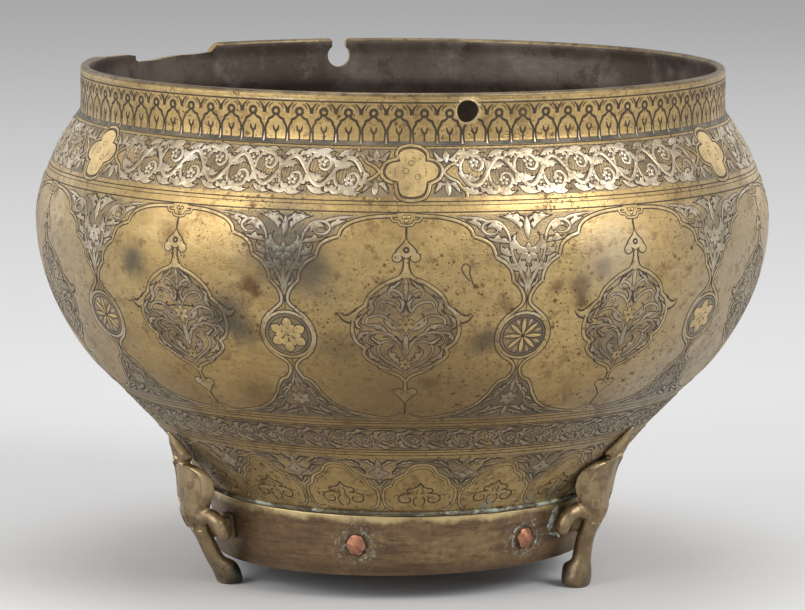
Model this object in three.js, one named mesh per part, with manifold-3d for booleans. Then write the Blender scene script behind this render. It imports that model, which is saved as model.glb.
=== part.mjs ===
// A brass bath pail with a squat round body, a short upright neck, and a low foot that was rebuilt with
// a riveted band and three cast feet. Millimetres, +Z up, with the origin on the floor under the middle
// of the body. The rivet hole of the lost handle is at the front, towards -Y, and its broken twin is at
// the back. Angles are degrees, counted anticlockwise from +X when seen from above.

import * as THREE from "three";
import { mergeVertices } from "three/addons/utils/BufferGeometryUtils.js";
import Module from "manifold-3d";

const wasm = await Module();
wasm.setup();

// Body: the outside of its wall, from the foot wall up to the rim.
const RIM_HEIGHT = 180.8;
const RIM_RADIUS = 114;
const LIP_HEIGHT = 3;
const LIP_THICKNESS = 2.9;
const LIP_ROUNDING = 1.1;
const NECK_HEIGHT = 16.6;
const NECK_SPREAD = 0.8;
const NECK_RIDGE_HEIGHT = 1.6;
const SHOULDER_LEAN = new THREE.Vector2(7, -10);
const BELLY_RADIUS = 130;
const BELLY_HEIGHT = 126;
const BELLY_FULLNESS_UP = 14;
const BELLY_FULLNESS_DOWN = 23;
const HAUNCH = new THREE.Vector2(108.5, 75);
const HAUNCH_LEAN = new THREE.Vector2(6.5, 6);
const FLARE_PULL = new THREE.Vector2(-20.4, -18.9);
const WALL = 2.2;
const FLARE_STEPS = 5;
const BELLY_STEPS = 6;
const SHOULDER_STEPS = 6;
const ROUND_SIDES = 72;

// Band round the foot of the body.
const BAND_TOP = 31;
const BAND_BOTTOM = 9.7;
const BAND_TOP_RADIUS = 69.4;
const BAND_TAPER = 2.8;
const BAND_THICKNESS = 1.8;
const BAND_BOTTOM_SLANT = 1.3;
const BAND_BOTTOM_RISES_TOWARDS = -11;
const BAND_CUT_AWAY = 3;
const BAND_ROUNDING = 0.6;
const FOOT_WALL_LENGTH = 17.5;
const LEDGE_REACH = 0.8;
const LEDGE_RISE = 0.6;

// Base plate, a shallow dish whose flange stands inside the foot wall.
const BASE_THICKNESS = 1.6;
const BASE_DISH = 2;
const BASE_DISH_RADIUS = 50;
const BASE_CORNER = 1.6;
const BASE_FLANGE_HEIGHT = 13;
const BASE_EDGE_ABOVE_WALL_END = 0.8;

// Solder run that covers the joint between the band and the body.
const SEAM_THICKNESS = 0.5;
const SEAM_OVER_BAND = 0.2;
const SEAM_OVER_BODY = 0.4;

// Copper rivets through band, foot wall and base flange, set unevenly by hand between the feet.
const RIVET_ANGLES = [-113.9, -61.6, -11, 40.3, 99.5, 146];
const RIVET_HEIGHT = 20.4;
const RIVET_SHANK_RADIUS = 1.7;
const RIVET_HEAD_RADIUS = 3.9;
const RIVET_HEAD_HEIGHT = 1.7;
const RIVET_TAIL_RADIUS = 2.9;
const RIVET_TAIL_HEIGHT = 1.1;
const RIVET_TAIL_TAPER = 0.7;
// Points of a head's crown, as shares of its radius and of its height.
const RIVET_CROWN = [
  [0.55, 0.85],
  [0.9, 0.45],
];
const RIVET_SIDES = 12;

// Rivet hole of the lost handle, and the broken-out one opposite, each so far below the rim.
const HANDLE_HOLE_ANGLE = -90;
const HANDLE_HOLE_DROP = 6;
const HANDLE_HOLE_RADIUS = 3.75;
const HOLE_SIDES = 24;
const BROKEN_HOLE_ANGLE = 91.8;
const BROKEN_HOLE_RADIUS = 4.25;
const BROKEN_HOLE_DROP = 6.5;
const BREAK_WIDTH = 5.3;
const BREAK_LIP_ROUNDING = 1.6;

// Stretch of rim that has broken away: angle, and height of the edge that is left.
const BROKEN_RIM = [
  [117.0, 1.0],
  [118.2, -1.2],
  [119.4, -3.4],
  [123.5, -3.9],
  [130.5, -4.2],
  [135.5, -4.8],
  [139.4, -4.6],
  [140.4, -3.9],
  [141.2, -2.1],
  [143.5, -1.5],
  [152.0, -0.9],
  [160.0, 0.6],
];

// Cast feet, each bent and filed by hand: its place, how far its ornament sits above or below that of
// the right foot, and the fronts of its leg and its plate from the floor up, as points of distance beyond
// the band's top and height.
const FEET = [
  {
    name: "foot_left",
    angle: -162.8,
    raised: -2.8,
    legFront: [[3, 0], [4.6, 4], [7.8, 9], [11.2, 16], [15.6, 24]],
    plateFront: [[18, 32], [19, 42], [19.9, 49], [23.2, 55.8]],
  },
  {
    name: "foot_right",
    angle: -40.8,
    raised: 0,
    legFront: [[6.2, 0], [7, 4], [7.2, 10], [8.5, 18], [11.8, 25]],
    plateFront: [[14, 33], [16.4, 42], [18.8, 49], [24, 58.6]],
  },
  {
    name: "foot_back",
    angle: 79.2,
    raised: -1.4,
    legFront: [[4.6, 0], [5.8, 4], [7.6, 9.6], [9.8, 17], [13.8, 24.6]],
    plateFront: [[16, 32.6], [17.8, 42], [19.4, 49], [23.6, 57.2]],
  },
];
// Outline of the right foot from the leaf's tip down: height, half width, thickness, fold of its edges.
const FOOT_OUTLINE = [
  { z: 58.6, half: 0.6, thick: 1.2, fold: 0 },
  { z: 56.6, half: 1.9, thick: 2, fold: 0.2 },
  { z: 53.5, half: 3.5, thick: 2.8, fold: 0.6 },
  { z: 50.6, half: 5.3, thick: 3.2, fold: 1.4 },
  { z: 49, half: 5.3, thick: 3.2, fold: 1.6 },
  { z: 47.4, half: 4, thick: 3.2, fold: 1.2 },
  { z: 46.2, half: 8.8, thick: 3.2, fold: 3 },
  { z: 43.8, half: 12, thick: 3.2, fold: 5.2 },
  { z: 40.6, half: 12.9, thick: 3.2, fold: 6 },
  { z: 37.4, half: 12.7, thick: 3.2, fold: 5.8 },
  { z: 34.2, half: 11.3, thick: 3.4, fold: 4.8 },
  { z: 31.6, half: 9.6, thick: 3.8, fold: 3.8 },
  { z: 29.6, half: 8.9, thick: 4.2, fold: 3.2 },
  { z: 26.4, half: 6.6, thick: 5, fold: 1.8 },
  { z: 23.6, half: 4.6, thick: 5.4, fold: 0.6 },
];
const LEG_OUTLINE = [
  { z: 15.5, half: 3.5, thick: 6.2, fold: 0 },
  { z: 11, half: 3.5, thick: 6.4, fold: 0 },
  { z: 9.2, half: 3.8, thick: 7.2, fold: 0 },
  { z: 7.8, half: 4.4, thick: 9.4, fold: 0 },
  { z: 5.4, half: 5.2, thick: 9.8, fold: 0 },
  { z: 2.4, half: 5.7, thick: 9.6, fold: 0 },
  { z: 0.7, half: 5.2, thick: 8.4, fold: 0 },
  { z: 0, half: 4, thick: 6.8, fold: 0 },
];
const FOOT_SIDES = 14;
const FRONT_STEPS = 60;
const SECTION_SQUARENESS = 0.82;

// Curls that hang from the knee of a foot, from the root behind its plate down to the tip.
const CURL_PATH = [
  { across: 4.2, z: 26.6, behind: 4.4 },
  { across: 8.8, z: 28.2, behind: 6.2 },
  { across: 12.2, z: 26.8, behind: 7.2 },
  { across: 13.4, z: 23.8, behind: 7.6 },
  { across: 12.2, z: 21, behind: 7.6 },
];
const CURL_ROOT_RADIUS = 2.5;
const CURL_TIP_RADIUS = 1.9;
const CURL_SIDES = 8;
const CURL_STEPS = 8;

// Lug behind the knee of a foot, and the pad of solder between it and the band.
const LUG_TOP = 26.4;
const LUG_BOTTOM = 20;
const LUG_WIDTH = 5;
const LUG_BEHIND_FRONT = 2;
const SOLDER_THICKNESS = 0.9;
const SOLDER_SPREAD = 1;

// Gap left between pieces that touch, and between a rivet and its hole.
const SEAT_GAP = 0.3;
const BEYOND = 12;

const BRASS = { color: 0xa08a5c, roughness: 0.42, metalness: 1 };
const BAND_BRASS = { color: 0x84683f, roughness: 0.45, metalness: 1 };
const CAST_BRASS = { color: 0x9a8156, roughness: 0.38, metalness: 1 };
const COPPER = { color: 0xc26a4a, roughness: 0.55, metalness: 0.8 };
const SOLDER = { color: 0xa9b5a2, roughness: 0.9, metalness: 0.1 };

const radians = THREE.MathUtils.degToRad;
const lerp = THREE.MathUtils.lerp;
const point = (radius, height) => new THREE.Vector2(radius, height);

// Solids: a closed geometry becomes a manifold, and comes back as a geometry.
function solid(geometry) {
  const bare = geometry.clone();
  bare.deleteAttribute("normal");
  bare.deleteAttribute("uv");
  const merged = mergeVertices(bare, 1e-4);
  const mesh = new wasm.Mesh({
    numProp: 3,
    vertProperties: Float32Array.from(merged.attributes.position.array),
    triVerts: Uint32Array.from(merged.index.array),
  });
  return new wasm.Manifold(mesh);
}

function geometryOf(manifold) {
  const { vertProperties, triVerts } = manifold.getMesh();
  const geometry = new THREE.BufferGeometry();
  geometry.setAttribute("position", new THREE.BufferAttribute(vertProperties, 3));
  geometry.setIndex(new THREE.BufferAttribute(triVerts, 1));
  geometry.computeVertexNormals();
  return geometry;
}

function node(name, manifold, material) {
  const mesh = new THREE.Mesh(geometryOf(manifold), new THREE.MeshStandardMaterial(material));
  mesh.name = name;
  return mesh;
}

// A closed outline of radius and height, turned round the Z axis.
function turned(outline) {
  const geometry = new THREE.LatheGeometry([...outline, outline[0]], ROUND_SIDES);
  geometry.rotateX(Math.PI / 2);
  return solid(geometry);
}

// Rings of equal point count, joined one after the other and closed at both ends.
function lofted(rings) {
  const count = rings[0].length;
  const positions = rings.flat().flatMap((p) => [p.x, p.y, p.z]);
  const faces = [];
  for (let i = 0; i < rings.length - 1; i++) {
    for (let j = 0; j < count; j++) {
      const a = i * count + j;
      const b = i * count + ((j + 1) % count);
      faces.push(a, b, a + count, b, b + count, a + count);
    }
  }
  const last = (rings.length - 1) * count;
  for (let j = 1; j < count - 1; j++) {
    faces.push(0, j + 1, j);
    faces.push(last, last + j, last + j + 1);
  }
  const geometry = new THREE.BufferGeometry();
  geometry.setAttribute("position", new THREE.Float32BufferAttribute(positions, 3));
  geometry.setIndex(faces);
  return solid(geometry);
}

// Radius of the band's outside, and of what lies inside it, at a height.
function bandRadius(height) {
  return BAND_TOP_RADIUS - (BAND_TAPER * (BAND_TOP - height)) / (BAND_TOP - BAND_BOTTOM);
}

function footWallRadius(height) {
  return bandRadius(height) - BAND_THICKNESS - SEAT_GAP;
}

const neckBase = RIM_HEIGHT - NECK_HEIGHT;
const footWallEnd = BAND_TOP - FOOT_WALL_LENGTH;

// Outside of the body from the foot wall's lower edge to the top of the rim.
function bodyOutside() {
  const ledge = BAND_TOP + SEAT_GAP;
  const flareStart = point(BAND_TOP_RADIUS + LEDGE_REACH, ledge + LEDGE_RISE);
  const belly = point(BELLY_RADIUS, BELLY_HEIGHT);
  const crease = point(RIM_RADIUS + NECK_SPREAD, neckBase);
  const flare = new THREE.QuadraticBezierCurve(flareStart, HAUNCH.clone().add(FLARE_PULL), HAUNCH);
  const lowerBelly = new THREE.CubicBezierCurve(
    HAUNCH,
    HAUNCH.clone().add(HAUNCH_LEAN),
    point(BELLY_RADIUS, BELLY_HEIGHT - BELLY_FULLNESS_DOWN),
    belly,
  );
  const shoulder = new THREE.CubicBezierCurve(
    belly,
    point(BELLY_RADIUS, BELLY_HEIGHT + BELLY_FULLNESS_UP),
    crease.clone().add(SHOULDER_LEAN),
    crease,
  );
  return [
    point(footWallRadius(footWallEnd), footWallEnd),
    point(footWallRadius(BAND_TOP), ledge),
    ...flare.getPoints(FLARE_STEPS),
    ...lowerBelly.getPoints(BELLY_STEPS).slice(1),
    ...shoulder.getPoints(SHOULDER_STEPS).slice(1),
    point(RIM_RADIUS + NECK_SPREAD / 4, neckBase + NECK_RIDGE_HEIGHT),
    point(RIM_RADIUS, RIM_HEIGHT - LIP_HEIGHT),
    point(RIM_RADIUS, RIM_HEIGHT - LIP_ROUNDING),
    point(RIM_RADIUS - LIP_ROUNDING, RIM_HEIGHT),
  ];
}

// The outline moved square to itself: inwards for the inside of the wall, outwards for a clearance.
function offsetOutline(outline, distance) {
  return outline.map((p, i) => {
    const before = outline[Math.max(i - 1, 0)];
    const after = outline[Math.min(i + 1, outline.length - 1)];
    const along = after.clone().sub(before).normalize();
    return point(p.x - along.y * distance, p.y + along.x * distance);
  });
}

function bodyOutline() {
  const outside = bodyOutside();
  const wallStretch = outside.slice(0, -3);
  const inside = offsetOutline(wallStretch, WALL).filter((_, i) => i < 3 || i % 2 === 0).reverse();
  inside.at(-1).y = footWallEnd;
  const lipInside = RIM_RADIUS - LIP_THICKNESS;
  const innerLip = [
    point(lipInside + LIP_ROUNDING, RIM_HEIGHT),
    point(lipInside, RIM_HEIGHT - LIP_ROUNDING),
    point(lipInside, RIM_HEIGHT - LIP_HEIGHT + LIP_ROUNDING / 2),
    point(RIM_RADIUS - WALL, RIM_HEIGHT - LIP_HEIGHT - LIP_ROUNDING),
  ];
  return [...outside, ...innerLip, ...inside];
}

// A round cutter that reaches through a wall of a given radius, at a height and an angle.
function boreThrough(wallRadius, radius, height, angle, sides) {
  const bore = new THREE.CylinderGeometry(radius, radius, 2 * BEYOND, sides);
  bore.rotateZ(Math.PI / 2);
  bore.translate(wallRadius, 0, height);
  bore.rotateZ(radians(angle));
  return solid(bore);
}

// The hole at the back, broken out to the rim through a throat with worn, rounded corners.
function brokenHole() {
  const half = BREAK_WIDTH / 2;
  const corner = half + BREAK_LIP_ROUNDING;
  const meets = Math.asin(half / BROKEN_HOLE_RADIUS);
  const lipStart = RIM_HEIGHT - BREAK_LIP_ROUNDING;
  const above = RIM_HEIGHT + BEYOND;
  const outline = new THREE.Shape();
  const from = Math.PI / 2 + meets;
  const to = (5 * Math.PI) / 2 - meets;
  outline.absarc(0, RIM_HEIGHT - BROKEN_HOLE_DROP, BROKEN_HOLE_RADIUS, from, to, false);
  outline.lineTo(half, lipStart);
  outline.quadraticCurveTo(half, RIM_HEIGHT, corner, RIM_HEIGHT);
  outline.lineTo(corner, above);
  outline.lineTo(-corner, above);
  outline.lineTo(-corner, RIM_HEIGHT);
  outline.quadraticCurveTo(-half, RIM_HEIGHT, -half, lipStart);
  outline.closePath();
  const options = { depth: 2 * BEYOND, bevelEnabled: false, curveSegments: HOLE_SIDES / 2 };
  const cutter = new THREE.ExtrudeGeometry(outline, options);
  cutter.rotateX(Math.PI / 2);
  cutter.rotateZ(Math.PI / 2);
  cutter.translate(RIM_RADIUS - BEYOND, 0, 0);
  cutter.rotateZ(radians(BROKEN_HOLE_ANGLE));
  return solid(cutter);
}

function brokenRim() {
  const inner = RIM_RADIUS - BEYOND;
  const outer = RIM_RADIUS + BEYOND;
  const rings = BROKEN_RIM.map(([angle, drop]) => {
    const floor = RIM_HEIGHT + drop;
    const corners = [
      [inner, floor],
      [outer, floor],
      [outer, RIM_HEIGHT + BEYOND],
      [inner, RIM_HEIGHT + BEYOND],
    ];
    const turn = radians(angle);
    return corners.map(([r, z]) => new THREE.Vector3(r * Math.cos(turn), r * Math.sin(turn), z));
  });
  return lofted(rings.reverse());
}

function withRivetHoles(piece) {
  const radius = RIVET_SHANK_RADIUS + SEAT_GAP;
  return RIVET_ANGLES.reduce(
    (cut, angle) => cut.subtract(boreThrough(BAND_TOP_RADIUS, radius, RIVET_HEIGHT, angle, RIVET_SIDES)),
    piece,
  );
}

function bodyShell() {
  const handleHole = boreThrough(
    RIM_RADIUS,
    HANDLE_HOLE_RADIUS,
    RIM_HEIGHT - HANDLE_HOLE_DROP,
    HANDLE_HOLE_ANGLE,
    HOLE_SIDES,
  );
  const whole = turned(bodyOutline());
  return withRivetHoles(whole.subtract(handleHole).subtract(brokenHole()).subtract(brokenRim()));
}

// The band, with its lower edge cut on a slant.
function footBand() {
  const below = BAND_BOTTOM - BAND_CUT_AWAY;
  const outline = [
    point(bandRadius(below) - BAND_THICKNESS, below),
    point(bandRadius(below), below),
    point(bandRadius(BAND_TOP - BAND_ROUNDING), BAND_TOP - BAND_ROUNDING),
    point(BAND_TOP_RADIUS - BAND_ROUNDING, BAND_TOP),
    point(BAND_TOP_RADIUS - BAND_THICKNESS, BAND_TOP),
  ];
  const side = 4 * BAND_TOP_RADIUS;
  const cutter = new THREE.BoxGeometry(side, side, 2 * BEYOND);
  cutter.translate(0, 0, -BEYOND);
  cutter.rotateY(-radians(BAND_BOTTOM_SLANT));
  cutter.rotateZ(radians(BAND_BOTTOM_RISES_TOWARDS));
  cutter.translate(0, 0, BAND_BOTTOM);
  return withRivetHoles(turned(outline).subtract(solid(cutter)));
}

function basePlate() {
  const lower = footWallEnd + BASE_EDGE_ABOVE_WALL_END;
  const upper = lower + BASE_FLANGE_HEIGHT;
  const outer = (height) => footWallRadius(height) - WALL - SEAT_GAP;
  const inner = (height) => outer(height) - BASE_THICKNESS;
  const floor = lower + BASE_THICKNESS;
  const outline = [
    point(0, lower + BASE_DISH),
    point(BASE_DISH_RADIUS, lower + BASE_DISH),
    point(outer(lower) - BASE_CORNER, lower),
    point(outer(lower + BASE_CORNER), lower + BASE_CORNER),
    point(outer(upper), upper),
    point(inner(upper), upper),
    point(inner(floor + BASE_CORNER), floor + BASE_CORNER),
    point(inner(floor) - BASE_CORNER, floor),
    point(BASE_DISH_RADIUS, floor + BASE_DISH),
    point(0, floor + BASE_DISH),
  ];
  return withRivetHoles(turned(outline));
}

// Radius of the body's outside at a height.
function bodyRadiusAt(height) {
  const outside = bodyOutside();
  const above = outside.findIndex((p) => p.y > height);
  const low = outside[above - 1];
  const high = outside[above];
  return lerp(low.x, high.x, (height - low.y) / (high.y - low.y));
}

function solderSeam() {
  const ledge = BAND_TOP + SEAT_GAP + LEDGE_RISE;
  const lower = BAND_TOP - SEAM_OVER_BAND;
  const upper = ledge + SEAM_OVER_BODY;
  const bandSide = bandRadius(lower) + SEAT_GAP;
  const ledgeSide = BAND_TOP_RADIUS + LEDGE_REACH + SEAT_GAP;
  const bodySide = bodyRadiusAt(upper) + SEAT_GAP;
  return turned([
    point(bandSide, lower),
    point(bandSide + SEAM_THICKNESS / 2, lower),
    point(ledgeSide + SEAM_THICKNESS, ledge),
    point(bodySide + SEAM_THICKNESS / 2, upper),
    point(bodySide, upper),
    point(ledgeSide, ledge),
  ]);
}

function rivet() {
  const seat = bandRadius(RIVET_HEIGHT - RIVET_HEAD_RADIUS);
  const headSeat = bandRadius(RIVET_HEIGHT + RIVET_HEAD_RADIUS) + SEAT_GAP;
  const flangeInside = footWallRadius(RIVET_HEIGHT - RIVET_TAIL_RADIUS) - WALL - SEAT_GAP - BASE_THICKNESS;
  const tailSeat = flangeInside - SEAT_GAP - (RIVET_TAIL_RADIUS * RIVET_TAIL_RADIUS) / (2 * seat);
  const outline = [
    point(0, headSeat + RIVET_HEAD_HEIGHT),
    ...RIVET_CROWN.map(([out, up]) => point(RIVET_HEAD_RADIUS * out, headSeat + RIVET_HEAD_HEIGHT * up)),
    point(RIVET_HEAD_RADIUS, headSeat),
    point(RIVET_SHANK_RADIUS, headSeat),
    point(RIVET_SHANK_RADIUS, tailSeat),
    point(RIVET_TAIL_RADIUS, tailSeat),
    point(RIVET_TAIL_RADIUS * RIVET_TAIL_TAPER, tailSeat - RIVET_TAIL_HEIGHT),
    point(0, tailSeat - RIVET_TAIL_HEIGHT),
  ];
  const geometry = new THREE.LatheGeometry([...outline].reverse(), RIVET_SIDES);
  geometry.rotateZ(-Math.PI / 2);
  return solid(geometry);
}

// Radius of a foot's front at a height.
function frontRadiusAt(foot, height) {
  const front = [...foot.legFront, ...foot.plateFront].map(([out, z]) => point(BAND_TOP_RADIUS + out, z));
  const line = new THREE.SplineCurve(front).getPoints(FRONT_STEPS);
  const above = Math.max(line.findIndex((p) => p.y >= height), 1);
  const low = line[above - 1];
  const high = line[above];
  return lerp(low.x, high.x, (height - low.y) / (high.y - low.y));
}

// Rounds a circle's sine or cosine towards a square with soft corners.
const squared = (value) => Math.sign(value) * Math.abs(value) ** SECTION_SQUARENESS;

function footRing(foot, station, height) {
  const front = frontRadiusAt(foot, height);
  return Array.from({ length: FOOT_SIDES }, (_, i) => {
    const turn = (2 * Math.PI * i) / FOOT_SIDES;
    const outward = squared(Math.cos(turn));
    const side = squared(Math.sin(turn));
    return new THREE.Vector3(
      front + ((outward - 1) * station.thick) / 2 - station.fold * side * side,
      side * station.half,
      height,
    );
  });
}

function footPlate(foot) {
  const tip = foot.plateFront.at(-1)[1];
  const ornament = FOOT_OUTLINE.map((s) => footRing(foot, s, Math.min(s.z + foot.raised, tip)));
  const leg = LEG_OUTLINE.map((s) => footRing(foot, s, s.z));
  return lofted([...ornament, ...leg].reverse());
}

function curl(foot, side) {
  const path = new THREE.CatmullRomCurve3(
    CURL_PATH.map(({ across, z, behind }) => {
      const height = z + foot.raised;
      return new THREE.Vector3(frontRadiusAt(foot, z) - behind, side * across, height);
    }),
  );
  const frames = path.computeFrenetFrames(CURL_STEPS, false);
  const rings = Array.from({ length: CURL_STEPS + 1 }, (_, i) => {
    const share = i / CURL_STEPS;
    const centre = path.getPointAt(share);
    const radius = lerp(CURL_ROOT_RADIUS, CURL_TIP_RADIUS, share);
    return Array.from({ length: CURL_SIDES }, (_, j) => {
      const turn = (2 * Math.PI * j) / CURL_SIDES;
      return centre
        .clone()
        .addScaledVector(frames.normals[i], Math.cos(turn) * radius)
        .addScaledVector(frames.binormals[i], Math.sin(turn) * radius);
    });
  });
  return lofted(rings);
}

// Block that stands behind a foot's knee, grown on all sides by a margin.
function kneeBlock(foot, from, to, margin) {
  const width = LUG_WIDTH + 2 * margin;
  const top = LUG_TOP + foot.raised + margin;
  const bottom = LUG_BOTTOM + foot.raised - margin;
  const block = new THREE.BoxGeometry(to - from, width, top - bottom);
  block.translate((from + to) / 2, 0, (top + bottom) / 2);
  return solid(block);
}

// Everything out to a margin from the outsides of the body and the band.
function within(margin) {
  const outside = offsetOutline(bodyOutside(), -margin);
  const body = turned([point(0, outside[0].y), ...outside, point(0, outside.at(-1).y)]);
  const band = turned([
    point(0, 0),
    point(bandRadius(0) + margin, 0),
    point(BAND_TOP_RADIUS + margin, BAND_TOP + margin),
    point(0, BAND_TOP + margin),
  ]);
  return body.add(band);
}

function castFoot(foot) {
  const behindFront = frontRadiusAt(foot, LUG_BOTTOM + foot.raised) - LUG_BEHIND_FRONT;
  const lug = kneeBlock(foot, bandRadius(BAND_BOTTOM) - WALL, behindFront, 0);
  const taken = kneeBlock(foot, 0, BAND_TOP_RADIUS + SOLDER_THICKNESS, SOLDER_SPREAD + SEAT_GAP);
  const solder = taken.intersect(within(SOLDER_THICKNESS + 2 * SEAT_GAP).rotate([0, 0, -foot.angle]));
  const clear = within(SEAT_GAP).rotate([0, 0, -foot.angle]);
  return footPlate(foot).add(curl(foot, 1)).add(curl(foot, -1)).add(lug).subtract(clear).subtract(solder);
}

function footSolder(foot) {
  const pad = kneeBlock(foot, 0, BAND_TOP_RADIUS + 2 * SOLDER_THICKNESS, SOLDER_SPREAD);
  const outer = within(SOLDER_THICKNESS + SEAT_GAP).rotate([0, 0, -foot.angle]);
  const inner = within(SEAT_GAP).rotate([0, 0, -foot.angle]);
  return pad.intersect(outer).subtract(inner);
}

const pail = new THREE.Group();
pail.add(node("body_shell", bodyShell(), BRASS));
pail.add(node("base_plate", basePlate(), BRASS));
pail.add(node("foot_band", footBand(), BAND_BRASS));
pail.add(node("band_solder_seam", solderSeam(), SOLDER));

RIVET_ANGLES.forEach((angle, i) => {
  const mesh = node("band_rivet_" + (i + 1), rivet(), COPPER);
  mesh.position.z = RIVET_HEIGHT;
  mesh.rotation.z = radians(angle);
  pail.add(mesh);
});

for (const foot of FEET) {
  const group = new THREE.Group();
  group.rotation.z = radians(foot.angle);
  group.add(node(foot.name, castFoot(foot), CAST_BRASS));
  group.add(node(foot.name + "_solder", footSolder(foot), SOLDER));
  pail.add(group);
}

export default pail;
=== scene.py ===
# Dresses the bath pail: a smooth worn body with engraved, inlaid and gilt ornament wrapped round it,
# a patched foot band with hammered copper rivets, and three cast feet.

import math
import random

import bmesh
import bpy
from mathutils import Matrix, Vector, geometry, noise


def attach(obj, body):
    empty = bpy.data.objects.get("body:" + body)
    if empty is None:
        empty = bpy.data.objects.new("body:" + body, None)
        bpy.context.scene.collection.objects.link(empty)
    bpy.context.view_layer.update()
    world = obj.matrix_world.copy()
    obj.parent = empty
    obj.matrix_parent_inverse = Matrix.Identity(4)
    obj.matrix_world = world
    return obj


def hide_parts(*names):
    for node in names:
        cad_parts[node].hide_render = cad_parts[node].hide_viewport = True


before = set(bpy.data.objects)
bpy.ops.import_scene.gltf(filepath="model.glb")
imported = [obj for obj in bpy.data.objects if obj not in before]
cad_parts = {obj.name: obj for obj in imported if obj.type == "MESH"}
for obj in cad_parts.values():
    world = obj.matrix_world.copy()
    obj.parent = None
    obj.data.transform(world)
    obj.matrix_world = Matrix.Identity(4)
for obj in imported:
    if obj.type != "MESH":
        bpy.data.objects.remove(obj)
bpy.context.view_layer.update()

# Sizes in millimetres, angles in degrees anticlockwise from +X seen from above.
MM = 0.001
RIM_HEIGHT = 180.8
RIM_RADIUS = 114.0
LIP_HEIGHT = 3.0
LIP_THICKNESS = 2.9
LIP_ROUNDING = 1.1
NECK_BASE = 164.2
WALL = 2.2
LEDGE = (70.2, 31.9)
FLARE_PULL = (88.1, 56.1)
HAUNCH = (108.5, 75.0)
HAUNCH_LEAN = (115.0, 81.0)
BELLY_RADIUS = 130.0
BELLY_HEIGHT = 126.0
BELLY_FULL_BELOW = 103.0
BELLY_FULL_ABOVE = 140.0
CREASE_LEAN = (121.8, 154.2)
CREASE = (114.8, 164.2)
FOOT_WALL_END = 13.5
ROUND_SIDES = 330

BAND_TOP = 31.0
BAND_BOTTOM = 9.7
BAND_TOP_RADIUS = 69.4
BAND_TAPER = 2.8
BAND_THICKNESS = 1.8
BAND_SLANT = 1.3
BAND_RISES_TOWARDS = -11.0
BAND_ROUNDING = 0.6
BAND_UNEVENNESS = 0.14
BAND_SIDES = 360
SEAM_SIDES = 900
GAP = 0.3

RIVET_ANGLES = (-113.9, -61.6, -11.0, 40.3, 99.5, 146.0)
RIVET_HEIGHT = 20.4
RIVET_RADIUS = 3.8
RIVET_RISE = 1.7
RIVET_NARROWING = 0.88

HANDLE_HOLE_ANGLE = -90.0
HANDLE_HOLE_HEIGHT = 174.8
HANDLE_HOLE_RADIUS = 3.75
BROKEN_HOLE_ANGLE = 91.8
BROKEN_HOLE_HEIGHT = 174.3
BROKEN_HOLE_RADIUS = 4.25
BREAK_WIDTH = 5.3
BREAK_ROUNDING = 1.6
# How far a cutter reaches past the brass of the neck.
CUT_REACH = 12.0
# Edge left where the rim has broken away: angle, and height against the whole rim.
BROKEN_RIM = (
    (117.0, 1.0), (118.2, -1.2), (119.4, -3.4), (121.5, -3.8), (123.5, -3.9), (127.0, -3.8), (130.5, -4.2),
    (133.0, -4.7), (135.5, -4.8), (139.4, -4.6), (140.4, -3.9), (141.2, -2.1), (143.5, -1.5), (147.5, -1.3),
    (152.0, -0.9), (156.0, -0.4), (160.0, 0.6),
)

# Where the ornament is drawn: degrees from this angle, and mm along the outside, counted from a point
# this far below the ledge.
FRONT = -100.84
BELOW_LEDGE = 7.4
FRONT_HOLE = HANDLE_HOLE_ANGLE - FRONT
NECK_LENGTH = 174.9


def lerp(a, b, share):
    return a + (b - a) * share


def turns(count):
    """Angles that divide a full turn evenly."""
    return [2 * math.pi * i / count for i in range(count)]


def polar(radius, turn, height):
    return (radius * math.cos(turn), radius * math.sin(turn), height)


def quadratic(a, b, c, steps):
    return [
        tuple(lerp(lerp(p, q, t), lerp(q, r, t), t) for p, q, r in zip(a, b, c))
        for t in (i / steps for i in range(steps + 1))
    ]


def cubic(a, b, c, d, steps):
    one = quadratic(a, b, c, steps)
    two = quadratic(b, c, d, steps)
    return [tuple(lerp(p, q, i / steps) for p, q in zip(one[i], two[i])) for i in range(steps + 1)]


def body_outside():
    """Outside of the body from its ledge up to the lip, as radius and height."""
    flare = quadratic(LEDGE, FLARE_PULL, HAUNCH, 44)
    belly = cubic(HAUNCH, HAUNCH_LEAN, (BELLY_RADIUS, BELLY_FULL_BELOW), (BELLY_RADIUS, BELLY_HEIGHT), 46)
    shoulder = cubic((BELLY_RADIUS, BELLY_HEIGHT), (BELLY_RADIUS, BELLY_FULL_ABOVE), CREASE_LEAN, CREASE, 36)
    neck = [(114.3, NECK_BASE + 0.8), (114.1, NECK_BASE + 1.8)]
    neck += [(RIM_RADIUS, z) for z in (168.0, 171.0, 174.0, 177.0, 178.6, RIM_HEIGHT - LIP_ROUNDING)]
    return flare + belly[1:] + shoulder[1:] + neck


OUTSIDE = body_outside()


def offset(outline, distance):
    """The outline moved square to itself, inwards for a positive distance."""
    moved = []
    for i, (r, z) in enumerate(outline):
        before = outline[max(i - 1, 0)]
        after = outline[min(i + 1, len(outline) - 1)]
        along = Vector((after[0] - before[0], after[1] - before[1])).normalized()
        moved.append((r - along.y * distance, z + along.x * distance))
    return moved


def band_radius(z):
    return BAND_TOP_RADIUS - BAND_TAPER * (BAND_TOP - z) / (BAND_TOP - BAND_BOTTOM)


# Making objects


def linked(name, data):
    thing = bpy.data.objects.new(name, data)
    bpy.context.scene.collection.objects.link(thing)
    return thing


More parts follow.
